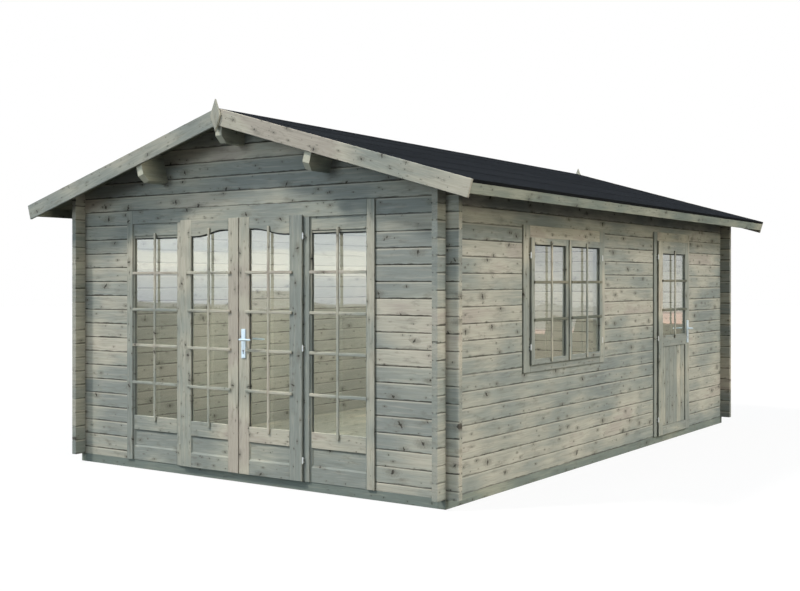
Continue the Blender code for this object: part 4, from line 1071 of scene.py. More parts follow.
# %% Front door leaves
KNUCKLE_REACH = 0.0125       # hinge barrels' outer side beyond the lip's edge
KNUCKLE_PROUD = 0.003        # and in front of the leaf's face
LAP = 0.017                  # how far the core stands back from the lip, to clear the frame
GAP = 0.005
ARCH_RISE = 0.044


def leaf_span(node, wall, hinge_side):
    """A leaf's own limits, without the hinge barrels that its CAD node carries."""
    s = Span(node, wall)
    s.front += KNUCKLE_PROUD
    if hinge_side < 0:
        s.left += KNUCKLE_REACH
    else:
        s.right -= KNUCKLE_REACH
    return s


LEAF_TONES = {"left": (0.80, 1.10, 0.20, 0.60, -0.25), "right": (0.80, -0.90, 0.10, 0.50, -0.45)}
for side, sign in (("left", -1), ("right", 1)):
    tones = LEAF_TONES[side]
    node = "front_door_" + side
    s = leaf_span(node, FRONT, sign)
    g = Span(node + "_glass", FRONT, GLASS_HIDDEN)
    sight = (g.left, g.right, g.foot, g.top - ARCH_RISE)
    outer = (s.left, s.right, s.foot, s.top)
    core = (s.left + (LAP if sign < 0 else 0.0), s.right - (LAP if sign > 0 else 0.0),
            SILL + THRESHOLD + GAP, head - GAP)
    made = Timber(FRONT)
    glazed_sash(made, outer, core, sight, s.front, s.back,
                [(SILL + PANEL_TOP, SILL + RAIL_TOP), (s.foot, SILL + PANEL_FOOT)], tones, ARCH_RISE, -sign)
    sunk_panel(made, g.left, g.right, SILL + PANEL_FOOT, SILL + PANEL_TOP, s.front, s.back, tones[-1])
    bar_grid(made, sight, s.front, BAR_LEVELS, rise=ARCH_RISE / 2)
    made.piece("door_leaf_" + side, joinery_pine, "front_leaf_" + side, stands_for=[node])
    seals_and_shade_lines(f"door_{side}_seals", FRONT, sight, g.front, "front_leaf_" + side, ARCH_RISE, -sign)

# %% [markdown]
# ## Window frame
# The window in the long wall has a square frame with a rebate, which the casements close
# into. It could be one solid with a stepped hole, but a joiner makes it from posts, a head
# and a sill. Two layers of plain boards do the same: the front one ends at the opening, and
# the back one stands further in as the stop.

# %% Window frame and trim
def rebated_frame(made, span, hole):
    """Posts, head and sill with a rebate: the front layer ends at the hole, the back layer
    stands a stop's depth further in. hole is (left, right, foot, top)."""
    for low, high, step in ((0.0, STOP_FRONT, 0.0), (STOP_FRONT, span.back, STOP_DEPTH)):
        made.box(span.left, hole[0] + step, low, high, span.foot, span.top, run="z", ease=0.0018)
        made.box(hole[1] - step, span.right, low, high, span.foot, span.top, run="z", ease=0.0018)
        made.box(hole[0] + step, hole[1] - step, low, high, hole[3] - step, span.top, ease=0.0018)
        made.box(hole[0] + step, hole[1] - step, low, high, span.foot, hole[2] + step, ease=0.0018)


LIP_LAP = 0.012              # how far the lip covers the frame
leaf_a = leaf_span("casement_front", RIGHT, -1)
leaf_b = leaf_span("casement_rear", RIGHT, 1)
hole = (leaf_a.left + LIP_LAP, leaf_b.right - LIP_LAP, leaf_a.foot + LIP_LAP, leaf_a.top - LIP_LAP)
made = Timber(RIGHT)
rebated_frame(made, Span("window_frame", RIGHT), hole)
WINDOW_SIDES = hole[:2]
made.piece("window_frame_timbers", joinery_pine, stands_for=["window_frame"])
trim_boards("window_trim_boards", "window_trim", RIGHT, hole[0], hole[1], hole[3],
            (0.05, 0.20, 1.20, -0.50), sill_top=hole[2])

# %% [markdown]
# ## Casements
# Two casements fill the window and meet in the middle, where a slim strip on the first one
# covers the gap between them. They are built like the doors at a smaller size. On this wall
# the bars that lie across are darkened with painted shade, darker than the upright ones, so
# they are a piece of their own with its own finish; a tone would not be enough to set them apart.

# %% Casements
CASEMENT_TONES = (-0.10, -0.20, 0.20, -0.70)
CASEMENT_LEVELS = [SILL + z for z in (1.4235, 1.142)]
COVER_WIDTH, COVER_DEPTH, COVER_SHORTER = 0.020, 0.013, 0.003
COVER_TONE = 0.6
for place, sign, s in (("front", -1, leaf_a), ("rear", 1, leaf_b)):
    g = Span(f"casement_{place}_glass", RIGHT, GLASS_HIDDEN)
    sight = (g.left, g.right, g.foot, g.top)
    outer = (s.left, s.right, s.foot, s.top)
    core = (s.left + (LAP if sign < 0 else 0.0), s.right - (LAP if sign > 0 else 0.0),
            s.foot + LAP, s.top - LAP)
    made = Timber(RIGHT)
    glazed_sash(made, outer, core, sight, s.front, s.back, [(s.foot, g.foot)], CASEMENT_TONES)
    cross = Timber(RIGHT)
    bar_grid(made, sight, s.front, CASEMENT_LEVELS, side_lap=0.018, end_lap=0.030, cross=cross)
    if sign < 0:
        made.box(s.right - COVER_WIDTH / 2, s.right + COVER_WIDTH / 2, s.front - COVER_DEPTH, s.front - HAIR,
                 s.foot + COVER_SHORTER, s.top - COVER_SHORTER, run="z", ease=BAR_EASE, tone=COVER_TONE)
    cross.piece(f"casement_{place}_cross_bars", bar_pine_painted_shade)
    made.piece(f"casement_{place}_sash", joinery_pine, stands_for=["casement_" + place])
    seals_and_shade_lines(f"casement_{place}_seals", RIGHT, sight, g.front)

# %% [markdown]
# ## Side door
# A single leaf with a glazed top half, in a frame like the window's. Below the middle rail
# its panel is made of upright boards. A groove pattern on one sheet would be quicker, but
# then all the boards would have one tone and one run of grain.

# %% Side door frame and trim
s = leaf_span("side_door", RIGHT, -1)
hole = (s.left + LIP_LAP, s.right - LIP_LAP, SILL + THRESHOLD, s.top - LIP_LAP)
made = Timber(RIGHT)
rebated_frame(made, Span("side_door_frame", RIGHT), hole)
SIDE_DOOR_SIDES = hole[:2]
made.piece("side_door_frame_timbers", joinery_pine, stands_for=["side_door_frame"])
trim_boards("side_door_trim_boards", "side_door_trim", RIGHT, hole[0], hole[1], hole[3], (-1.10, 0.30, 0.90))

# %% [markdown]
# ## Side door leaf
# The leaf is a sash like the casements', with a taller lower part. Its panel boards fill the
# space between the two rails. Each is a board of its own with eased edges, which is what
# makes the V joints, and each draws its own tone.

# %% Side door leaf
MIDDLE_RAIL_FOOT, BOTTOM_RAIL_TOP = 0.822, 0.085
SIDE_DOOR_LEVELS = [SILL + z for z in (1.436, 1.163)]
PANEL_BOARDS = 6
BOARD_EASE = 0.003
g = Span("side_door_glass", RIGHT, GLASS_HIDDEN)
sight = (g.left, g.right, g.foot, g.top)
outer = (s.left, s.right, s.foot, s.top)
core = (s.left + LAP, s.right - LAP, SILL + THRESHOLD + GAP, s.top - LAP)
made = Timber(RIGHT)
glazed_sash(made, outer, core, sight, s.front, s.back,
            [(SILL + MIDDLE_RAIL_FOOT, g.foot), (s.foot, SILL + BOTTOM_RAIL_TOP)], (0.55, 0.00, 0.30, 0.00, 0.00))
width = (g.right - g.left) / PANEL_BOARDS
for i in range(PANEL_BOARDS):
    made.box(g.left + i * width, g.left + (i + 1) * width, s.front + PANEL_SUNK, s.back - PANEL_SUNK,
             SILL + BOTTOM_RAIL_TOP, SILL + MIDDLE_RAIL_FOOT, run="z", ease=BOARD_EASE,
             tone=chance.uniform(-0.4, 0.8))
# The bars across are darkened with painted shade, as on the casements.
cross = Timber(RIGHT)
bar_grid(made, sight, s.front, SIDE_DOOR_LEVELS, side_lap=0.020, end_lap=0.030, cross=cross)
cross.piece("side_door_cross_bars", bar_pine_painted_shade, "side_leaf")
made.piece("side_door_leaf", joinery_pine, "side_leaf", stands_for=["side_door"])
seals_and_shade_lines("side_door_seals", RIGHT, sight, g.front, "side_leaf")

# %% [markdown]
# ## Roof boards
# Narrow boards run from the ridge down to the eaves and show from below under every
# overhang and inside. Each slope gets its own matrix: along the slope from the ridge, along
# the cabin, and square up out of the roof. In those measures every board is a plain one.

# %% Roof boards
PITCH = math.radians(16.25)
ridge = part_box("roof_felt")[1].z
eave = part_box("roof_felt")[1].x / math.cos(PITCH)
roof_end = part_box("roof_felt")[1].y
SLOPES = {}
SLOPES["right"] = Matrix.Translation((0.0, 0.0, ridge)) @ Matrix.Rotation(PITCH, 4, "Y")
SLOPES["left"] = (Matrix.Translation((0.0, 0.0, ridge)) @ Matrix.Rotation(math.pi, 4, "Z")
                  @ Matrix.Rotation(PITCH, 4, "Y"))
FELT, DECK = 0.003, 0.019
FASCIA_THICK, FASCIA_DEEP = 0.018, 0.090
deck_top = FELT + HAIR
ROOF_BOARDS = 62
SEAM_HALF = 0.0002           # half the gap between two roof boards


def mitred(top_depth, under_depth, end):
    """A board's long section on a slope, cut upright at the ridge; depths are below the felt."""
    lean = math.tan(PITCH)
    return [(top_depth * lean + HAIR, -top_depth), (end, -top_depth), (end, -under_depth),
            (under_depth * lean + HAIR, -under_depth)]


for side, slope in SLOPES.items():
    made = Timber(slope)
    cover = 2 * roof_end / ROOF_BOARDS
    for i in range(ROOF_BOARDS):
        made.board(mitred(deck_top, deck_top + DECK, eave - FASCIA_THICK - HAIR),
                   -roof_end + i * cover + SEAM_HALF, -roof_end + (i + 1) * cover - SEAM_HALF, ease=0.002)
    made.piece("roof_boards_" + side, roof_pine_painted_shade, stands_for=["roof_deck_" + side])

# %% [markdown]
# ## Bargeboards, fascias and finials
# Wide boards close the roof's edges: bargeboards up the gables, mitred at the ridge under a
# pointed finial, and fascias along the eaves. Drawn in the slope's own measures, a mitre is
# only a slanting end to a plain outline, and needs no cutting.

# %% Edge boards
BARGE_TONES = {"left": 0.00, "right": 1.20}
BARGE_DEEP = 0.120
BARGE_EASE, FINIAL_EASE = 0.0025, 0.003
for side, slope in SLOPES.items():
    flip = 1 if side == "right" else -1
    for end in ("front", "rear"):
        node = f"bargeboard_{end}_{side}"
        low, high = sorted(flip * corner.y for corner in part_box(node))
        made = Timber(slope)
        made.board(mitred(0.0, BARGE_DEEP, eave), low, high, ease=BARGE_EASE, tone=BARGE_TONES[side])
        made.piece(node + "_timber", barge_pine, stands_for=[node])
    made = Timber(slope)
    made.board([(eave - FASCIA_THICK, -deck_top), (eave, -deck_top), (eave, -deck_top - FASCIA_DEEP),
                (eave - FASCIA_THICK, -deck_top - FASCIA_DEEP)], -roof_end, roof_end, run="y", ease=BARGE_EASE,
               tone=0.5)
    made.piece(f"eave_fascia_{side}_timber", edge_pine, stands_for=["eave_fascia_" + side])
for end in ("front", "rear"):
    low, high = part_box("finial_" + end)
    middle = (low.z + high.z) / 2
    made = Timber(PLAIN)
    made.board([(0.0, low.z), (high.x, middle), (0.0, high.z), (low.x, middle)], low.y, high.y, run="z",
               ease=FINIAL_EASE, tone=0.4)
    made.piece(f"finial_{end}_timber", barge_pine, stands_for=["finial_" + end])

# %% [markdown]
# ## Roofing felt
# Roofing felt is a fine mineral grit in bitumen: near black, slightly blue, with lighter
# bands where the grit lies thicker. The grit is the cells of a fine Voronoi pattern, which
# gives each grain its own shade and its own height.

# %% Felt material
felt_material, net, shader = new_material("mineral_felt")
place = net.node("TexCoord").outputs["Object"]
grit = net.node("TexVoronoi", Vector=place, Scale=420.0).outputs["Color"]
speck = net.parts(grit)[0]
cloud = net.noise(net.vmath("MULTIPLY", place, (1.6, 0.5, 1.6)), detail=4.0, roughness=0.6)
streak = net.noise(net.vmath("MULTIPLY", place, (14.0, 0.25, 14.0)), detail=2.0)
shade = net.math("ADD", net.math("MULTIPLY", cloud, 0.5), net.math("MULTIPLY", streak, 0.5))
base = net.ramp(shade, (0.35, paint(14, 15, 15)), (0.65, paint(25, 26, 27)))
base = net.mix(net.step(speck, 0.60, 1.0), base, paint(40, 42, 44))
net.feed(shader.inputs["Normal"], net.relief(speck, 0.5, 0.0012))
net.feed(shader.inputs["Base Color"], base)
net.feed(shader.inputs["Roughness"], net.span(speck, 0.0, 1.0, 0.75, 0.95))
shader.inputs["Specular IOR Level"].default_value = 0.02
print("felt has", len(net.tree.nodes), "nodes")

# %% [markdown]
# ## Felt strips
# Felt comes in rolls. It is laid in strips along the cabin from the eaves up, each lapping
# over the one below, with a last strip folded over the ridge. The lowest one is folded down
# over the fascia. One flat sheet with drawn lines would do from far away, but the strips
# here are real thin sheets that lap, so their edges catch the light.

# %% Felt strips
FELT_SHEET = 0.0014
STRIP_LAP = 0.07
STRIP_START = 0.02           # how far the laps lie below an even division of the slope
STRIPS = 5
RIDGE_STRIP = 0.15
RIDGE_START, RIDGE_UNDER, RIDGE_OVER = 0.0006, 0.0002, 0.0004
FOLD_TOP, FOLD_OUT, FOLD_DEEP = 0.0002, 0.0006, 0.022
strip = (eave - STRIP_START) / STRIPS
for side, slope in SLOPES.items():
    made = Timber(slope)
    sheets = []
    for i in range(STRIPS):
        a = max(0.001, i * strip - STRIP_LAP + STRIP_START)
        b = (i + 1) * strip + STRIP_START
        sheets.append([(a, -FELT), (a, -FELT + FELT_SHEET), (b, 0.0), (b, -FELT_SHEET)])
    sheets.append([(RIDGE_START, -FELT + FELT_SHEET), (RIDGE_START, -RIDGE_UNDER), (RIDGE_STRIP, RIDGE_OVER),
                   (RIDGE_STRIP, RIDGE_OVER - FELT_SHEET)])
    sheets.append([(eave, -FOLD_TOP), (eave + FELT_SHEET, -FOLD_OUT), (eave + FELT_SHEET, -FOLD_DEEP),
                   (eave, -FOLD_DEEP)])
    for sheet in sheets:
        made.board(sheet, -roof_end, roof_end, run="y", ease=0)
    made.piece("felt_strips_" + side, felt_material, stands_for=["roof_felt"] if side == "left" else ())

# %% [markdown]
# ## Glass
# The panes are the CAD's own: 4 mm sheets held behind the sashes' lips. Real glass both
# lets light through and mirrors. A Principled shader with full transmission does both, and
# its mirror part grows towards the edges of the view by itself. Lamps have to shine into
# the room as well, so for shadow rays alone the shader steps aside for a clear one. A
# little unevenness in the relief makes the mirrored sky waver, as it does in thin glass.

# %% Glass material
glass, net, shader = new_material("window_glass")
place = net.node("TexCoord").outputs["Object"]
waver = net.noise(net.vmath("MULTIPLY", place, (2.2, 2.2, 1.4)), detail=1.0)
net.feed(shader.inputs["Normal"], net.relief(waver, 0.25, 0.004))
shader.inputs["Base Color"].default_value = (0.93, 0.96, 0.95, 1.0)
shader.inputs["Roughness"].default_value = 0.01
shader.inputs["IOR"].default_value = 2.0
shader.inputs["Transmission Weight"].default_value = 1.0
clear = net.node("BsdfTransparent", Color=(0.90, 0.93, 0.92, 1.0))
net.surface(net.either(net.node("LightPath").outputs["Is Shadow Ray"], shader, clear))
panes = [node for node in cad if node.endswith("_glass")]
dress(panes, glass)
print("panes:", panes)

# %% [markdown]
# ## Metal parts
# Handles, hinges and nails are small and round. A cylinder from a menu would have no
# chamfers, and a chamfer is what catches the light on a small part. So they are turned as on
# a lathe: a profile is spun about an axis. The handles are satin steel: the noise in their
# roughness is stretched upright, as brushing leaves it, and their colour is faintly smudged.

# %% Steel and the lathe
ROUND_BELOW = math.radians(35)     # edges flatter than this are shaded as round
steel, net, shader = new_material("satin_steel")
place = net.node("TexCoord").outputs["Object"]
brush = net.noise(net.vmath("MULTIPLY", place, (900.0, 900.0, 60.0)))
smudge = net.noise(net.vmath("MULTIPLY", place, (40.0, 40.0, 40.0)), detail=3.0)
net.feed(shader.inputs["Base Color"], net.ramp(smudge, (0.3, (0.66, 0.75, 0.79, 1.0)),
                                               (0.7, (0.75, 0.83, 0.86, 1.0))))
net.feed(shader.inputs["Roughness"], net.span(brush, 0.3, 0.7, 0.34, 0.50))
shader.inputs["Metallic"].default_value = 0.55


def turn(shape, profile, place, axis="z", segments=24):
    """Spin a profile of (distance, radius) pairs about an axis through a place."""
    aim = {"x": Matrix.Rotation(math.pi / 2, 4, "Y"), "y": Matrix.Rotation(-math.pi / 2, 4, "X"),
           "z": Matrix.Identity(4)}[axis]
    matrix = Matrix.Translation(place) @ aim
    rings = []
    for distance, radius in profile:
        rings.append([shape.verts.new(matrix @ Vector((
            radius * math.cos(math.tau * i / segments), radius * math.sin(math.tau * i / segments), distance)))
            for i in range(segments)])
    for a, b in zip(rings, rings[1:]):
        for i in range(segments):
            j = (i + 1) % segments
            shape.faces.new((a[i], a[j], b[j], b[i]))
    shape.faces.new(rings[0][::-1])
    shape.faces.new(rings[-1])


def metal_piece(name, shape, wall, body, material, stands_for=()):
    """Turn a shape in wall measures into a piece with smooth round sides."""
    bmesh.ops.transform(shape, matrix=wall, verts=shape.verts)
    bmesh.ops.recalc_face_normals(shape, faces=shape.faces)
    mesh = bpy.data.meshes.new(name)
    shape.to_mesh(mesh)
    shape.free()
    mesh.shade_smooth()
    mesh.set_sharp_from_angle(angle=ROUND_BELOW)
    mesh.materials.append(material)
    obj = bpy.data.objects.new(name, mesh)
    bpy.context.scene.collection.objects.link(obj)
    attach(obj, body)
    if stands_for:
        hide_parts(*stands_for)
    print(f"{name}: {len(mesh.polygons)} faces on {body}")


print("lathe ready; steel has", len(net.tree.nodes), "nodes")

# %% [markdown]
# ## Hinges
# Hinges are pale metal barrels in two halves: the upper one is screwed into the leaf and
# the lower one into the frame, each by a pin through the wood, so each half rides on its own
# body. Those of the left leaf have the colour of the wood round them, like a coat of paint,
# and get a finish of their own. The window has no joint in the CAD model, so its hinges ride
# on the cabin with both halves.

# %% Hinges
HINGE_RADIUS = 0.007
# Profiles are (distance, radius) pairs from the middle of a hinge outwards.
BARREL = [(0.0004, 0.0048), (0.0010, 0.0055), (0.0202, 0.0055), (0.0216, 0.0044), (0.0224, 0.0032),
          (0.0240, 0.0029), (0.0245, 0.0018)]
LEAF_PIN = [(0.0, 0.0028), (0.018, 0.0028)]
FRAME_PIN = [(0.0, 0.0028), (0.022, 0.0028)]
PIN_HEIGHT = 0.012
PIN_SIDES = 12
DOOR_INSET, CASEMENT_INSET = 0.150, 0.132     # from a leaf's end to its outer hinge


def hinges(name, node, wall, hinge_side, inset, count, body, finish):
    """Barrels along a leaf's hinge line: upper halves on the leaf, lower ones on the frame."""
    s = Span(node, wall)
    line = s.left + HINGE_RADIUS if hinge_side < 0 else s.right - HINGE_RADIUS
    deep = s.front + HINGE_RADIUS
    upper, lower = bmesh.new(), bmesh.new()
    for i in range(count):
        z = s.foot + inset + (s.top - s.foot - 2 * inset) * i / (count - 1)
        turn(upper, BARREL, (line, deep, z))
        turn(lower, [(-d, r) for d, r in BARREL[::-1]], (line, deep, z))
        turn(upper, LEAF_PIN, (line, deep, z + PIN_HEIGHT), "y", PIN_SIDES)
        turn(lower, FRAME_PIN, (line, deep, z - PIN_HEIGHT), "y", PIN_SIDES)
    metal_piece(name + "_leaf_halves", upper, wall, body, finish)
    metal_piece(name + "_frame_halves", lower, wall, "cabin", finish)


zinc = mottled("hinge_zinc", (120.0, 120.0, 60.0), (0.70, 0.71, 0.69, 1.0), (0.82, 0.82, 0.80, 1.0),
               (0.36, 0.52), marks=(0.3, 0.7), metallic=0.35)
hinge_paint = mottled("hinge_paint", (160.0, 160.0, 60.0), paint(132, 130, 118), paint(164, 161, 147),
                      (0.50, 0.75))
hinges("left_door_hinges", "front_door_left", FRONT, -1, DOOR_INSET, 3, "front_leaf_left", hinge_paint)
hinges("right_door_hinges", "front_door_right", FRONT, 1, DOOR_INSET, 3, "front_leaf_right", zinc)
hinges("side_door_hinges", "side_door", RIGHT, -1, DOOR_INSET, 3, "side_leaf", zinc)
hinges("front_casement_hinges", "casement_front", RIGHT, -1, CASEMENT_INSET, 2, "cabin", zinc)
hinges("rear_casement_hinges", "casement_rear", RIGHT, 1, CASEMENT_INSET, 2, "cabin", zinc)

# %% [markdown]
# ## Outlines for the lock plates
# Each door has a long plate on both faces, with the lever above and the keyhole of the lock
# below. A plate is a flat outline with a hole, which a filled 2D curve does best: it can
# hold both outlines and bevels the edges. Cutting the hole out of a solid would leave ragged
# edges round it.

# %% Plate helpers
def rounded(left, right, foot, top, radius, steps=6):
    """A rectangle with round corners, as a list of points."""
    line = []
    for cx, cz, start in ((right - radius, foot + radius, -90), (right - radius, top - radius, 0),
                          (left + radius, top - radius, 90), (left + radius, foot + radius, 180)):
        for i in range(steps + 1):
            angle = math.radians(start + 90 * i / steps)
            line.append((cx + radius * math.cos(angle), cz + radius * math.sin(angle)))
    return line


SLOT_HALF, SLOT_DROP = 0.55, 2.2     # of the keyhole's slot, in radii of its circle


def keyhole(x, z, radius, steps=20, slot_steps=8):
    """The outline of a profile lock: a circle with a rounded slot under it."""
    line = []
    for i in range(steps + 1):
        angle = math.radians(-60 + 300 * i / steps)
        line.append((x + radius * math.cos(angle), z + radius * math.sin(angle)))
    slot = radius * SLOT_HALF
    for i in range(slot_steps + 1):
        angle = math.radians(180 + 180 * i / slot_steps)
        line.append((x + slot * math.cos(angle), z - radius * SLOT_DROP + slot * math.sin(angle)))
    return line


def plate_shape(outlines, thickness, bevel):
    """A bevelled flat shape with holes, standing in the XZ plane."""
    curve = bpy.data.curves.new("plate", "CURVE")
    curve.dimensions = "2D"
    curve.fill_mode = "BOTH"
    curve.extrude = thickness / 2 - bevel
    curve.bevel_depth = bevel
    curve.bevel_resolution = 2
    curve.offset = -bevel
    for outline in outlines:
        spline = curve.splines.new("POLY")
        spline.points.add(len(outline) - 1)
        for point, (x, z) in zip(spline.points, outline):
            point.co = (x, z, 0.0, 1.0)
        spline.use_cyclic_u = True
    obj = bpy.data.objects.new("plate", curve)
    bpy.context.scene.collection.objects.link(obj)
    graph = bpy.context.evaluated_depsgraph_get()
    mesh = bpy.data.meshes.new_from_object(obj.evaluated_get(graph))
    bpy.data.objects.remove(obj)
    mesh.transform(Matrix.Rotation(math.pi / 2, 4, "X"))
    return mesh


print("a keyhole has", len(keyhole(0.0, 0.0, 1.0)), "points")

# %% [markdown]
# ## Lock plates
# On both plates sit a rose round the lever's spindle and two screws, and between them runs
# the lock's barrel, of a darker steel. The real plates are a little wider than the CAD
# model's and sit a little higher, so their outline is the CAD one, moved by a few
# millimetres.

# %% Lock plates and barrels
PLATE_THICK, PLATE_CORNER, PLATE_BEVEL = 0.008, 0.006, 0.0014
PLATE_WIDER, PLATE_UP, PLATE_SHORTER = 0.003, 0.009, 0.003
LOCK_DROP = 0.086            # from the spindle down to the lock
KEYHOLE_RADIUS = 0.0088
ROSE = [(0.0, 0.0115), (0.0022, 0.0115), (0.0034, 0.0104), (0.0034, 0.0082)]
SCREW = [(0.0, 0.0034), (0.0008, 0.0030), (0.0012, 0.0016)]
SCREW_IN = 0.012
LOCK_RADIUS, LOCK_CHAMFER, LOCK_SUNK = 0.0080, 0.0010, 0.0022
dark_steel = mottled("lock_barrel_steel", (300.0, 300.0, 300.0), (0.20, 0.20, 0.21, 1.0), (0.34, 0.34, 0.35, 1.0),
                     (0.30, 0.50), marks=(0.35, 0.7), metallic=1.0)


def lock_plates(prefix, wall, body, pivot, axle):
    """Both plates and the lock's barrel, round a spindle at pivot and axle."""
    lock = Span(prefix + "_lock", wall)
    lock.left, lock.right = lock.left - PLATE_WIDER, lock.right + PLATE_WIDER
    lock.foot, lock.top = lock.foot + PLATE_UP + PLATE_SHORTER, lock.top + PLATE_UP
    shape = bmesh.new()
    hole = keyhole(pivot, axle - LOCK_DROP, KEYHOLE_RADIUS)
    outlines = [rounded(lock.left, lock.right, lock.foot, lock.top, PLATE_CORNER), hole[::-1]]
    for face in (lock.front + PLATE_THICK / 2, lock.back - PLATE_THICK / 2):
        mesh = plate_shape(outlines, PLATE_THICK, PLATE_BEVEL)
        mesh.transform(Matrix.Translation((0.0, face, 0.0)))
        shape.from_mesh(mesh)
        bpy.data.meshes.remove(mesh)
    for face, way in ((lock.front, -1), (lock.back, 1)):
        turn(shape, [(way * d, r) for d, r in ROSE], (pivot, face, axle), "y", 28)
        for z in (lock.top - SCREW_IN, lock.foot + SCREW_IN):
            turn(shape, [(way * d, r) for d, r in SCREW], (pivot, face, z), "y", 14)
    bmesh.ops.remove_doubles(shape, verts=shape.verts, dist=0.00001)
    metal_piece(prefix + "_lock_plates", shape, wall, body, steel, stands_for=[prefix + "_lock"])
    barrel = bmesh.new()
    depth = (lock.back - lock.front) / 2 - LOCK_SUNK
    turn(barrel, [(-depth, LOCK_RADIUS - LOCK_CHAMFER), (-depth + 0.0008, LOCK_RADIUS),
                  (depth - 0.0008, LOCK_RADIUS), (depth, LOCK_RADIUS - LOCK_CHAMFER)],
         (pivot, (lock.front + lock.back) / 2, axle - LOCK_DROP), "y", 24)
    metal_piece(prefix + "_lock_barrel", barrel, wall, body, dark_steel)


print("a rose stands", ROSE[-1][0], "m proud and is", 2 * ROSE[0][1], "m wide")

# %% [markdown]
# ## Lever handles
# One bar makes both levers of a door: it comes in from the tip, bends into the door along
# the spindle and out again on the other side. It is swept along a path whose corners are
# arcs and whose ends are rounded by shrinking its radius. Each set turns on its own body.

# %% Levers
LEVER_RADIUS = 0.0075
BEND = 0.014
BEND_STEPS = 8
# The rounded tip: how far from the end, and the share of the bar's full radius there.
TIP = [(0.0002, 0.15), (0.0012, 0.55), (0.0035, 0.85), (0.007, 1.0)]


def lever_set(prefix, wall, leaf_body, lever_body, direction):
    """Plates and lock barrel on the leaf, lever on its own body. direction is the sign of the
    way along the wall that the lever points."""
    bar = Span(prefix + "_lever", wall)
    pivot = bar.left + LEVER_RADIUS if direction > 0 else bar.right - LEVER_RADIUS
    axle = (bar.foot + bar.top) / 2
    lock_plates(prefix, wall, leaf_body, pivot, axle)
    out, inner = bar.front + LEVER_RADIUS, bar.back - LEVER_RADIUS
    tip = bar.right if direction > 0 else bar.left
    path = [(tip - direction * away, out, share) for away, share in TIP]
    for i in range(BEND_STEPS + 1):
        angle = math.radians(90 * i / BEND_STEPS)
        path.append((pivot + direction * BEND * (1 - math.sin(angle)), out + BEND * (1 - math.cos(angle)), 1.0))
    other = [(x, inner - (y - out), r) for x, y, r in path]
    path += other[::-1]
    curve = bpy.data.curves.new(prefix + "_lever_bar", "CURVE")
    curve.dimensions = "3D"
    curve.bevel_depth = LEVER_RADIUS
    curve.bevel_resolution = 6
    curve.use_fill_caps = True
    spline = curve.splines.new("POLY")
    spline.points.add(len(path) - 1)
    for point, (x, y, r) in zip(spline.points, path):
        point.co = (*(wall @ Vector((x, y, axle))), 1.0)
        point.radius = r
    spline.use_smooth = True
    obj = bpy.data.objects.new(prefix + "_lever_bar", curve)
    bpy.context.scene.collection.objects.link(obj)
    curve.materials.append(steel)
    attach(obj, lever_body)
    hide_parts(prefix + "_lever")
    print(f"{obj.name}: {len(path)} points on {lever_body}, spindle at", round(axle, 3))


lever_set("front", FRONT, "front_leaf_right", "front_handle", 1)
lever_set("side", RIGHT, "side_leaf", "side_handle", -1)

# %% [markdown]
# ## Nails
# Bargeboards, fascias and trim are nailed on. The flat heads were zinc bright once and have
# weathered to a dull dark grey. Each is a little off its line, as a hand sets it. A head is a
# low turned disc: so small a thing needs no more, but it tells the eye how large the boards
# are.

# %% Nail helper
nail_zinc = mottled("nail_zinc", (350.0, 350.0, 350.0), paint(84, 84, 78), paint(118, 118, 110), (0.45, 0.70),
                    detail=2.0, metallic=0.3)
HEAD = [(0.0, 0.0036), (0.0004, 0.0036), (0.0008, 0.0020)]
HEAD_SIDES = 10
OFF_LINE = 0.004


def nail_heads(name, wall, places, axis="y"):
    """Low round heads on a board's face; each place is (x, y, z, way), and way is the sign of
    outwards along the axis."""
    shape = bmesh.new()
    for x, y, z, way in places:
        off, up = chance.uniform(-OFF_LINE, OFF_LINE), chance.uniform(-OFF_LINE, OFF_LINE)
        spot = (x + off, y, z + up) if axis == "y" else (x, y + off, z + up)
        turn(shape, [(way * d, r) for d, r in HEAD], spot, axis, HEAD_SIDES)
    metal_piece(name, shape, wall, "cabin", nail_zinc)


def row(start, end, count):
    """Evenly spaced places from start to end."""
    return [start + (end - start) * i / (count - 1) for i in range(count)]


print("a nail's head is", 2 * HEAD[0][1], "m wide")

# %% [markdown]
# ## Where the nails go
# Bargeboards are nailed in pairs and fascias and trim in one row. Every place is worked out
# from the board that the nail holds, so the nails stay on their boards if a size changes.

# %% Nails on roof edges and trim
BARGE_PAIR = (-0.028, -0.092)        # a pair's places below the roof's surface
BARGE_ENDS = (0.17, 0.16)            # from the ridge and from the eave
FASCIA_END, FASCIA_LEVEL = 0.15, 0.6
TRIM_END = 0.10
for side, slope in SLOPES.items():
    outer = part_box("bargeboard_rear_" + side)[1].y
    nail_heads(f"bargeboard_{side}_nails", slope, [
        (x, way * outer, z, way) for way in (-1, 1) for x in row(BARGE_ENDS[0], eave - BARGE_ENDS[1], 6)
        for z in BARGE_PAIR])
    level = -deck_top - FASCIA_DEEP * FASCIA_LEVEL
    nail_heads(f"eave_fascia_{side}_nails", slope, [
        (eave, y, level, 1) for y in row(-roof_end + FASCIA_END, roof_end - FASCIA_END, 11)], "x")
for node, wall, left, right in (("front_trim", FRONT, -jamb, jamb), ("window_trim", RIGHT, *WINDOW_SIDES),
                                ("side_door_trim", RIGHT, *SIDE_DOOR_SIDES)):
    s = Span(node, wall)
    nail_heads(node + "_nails", wall, [
        ((a + b) / 2, s.front, z, -1) for a, b in ((s.left, left), (right, s.right))
        for z in row(s.foot + TRIM_END, s.top - TRIM_END, 5)])

# %% [markdown]
# ## Floor
# The cabin stands on a plain pale floor that keeps its soft shadow. A floor of a pale paint
# would throw too much light up under the eaves. So its paint is dark, and a faint glow that
# only the eye sees makes it pale.

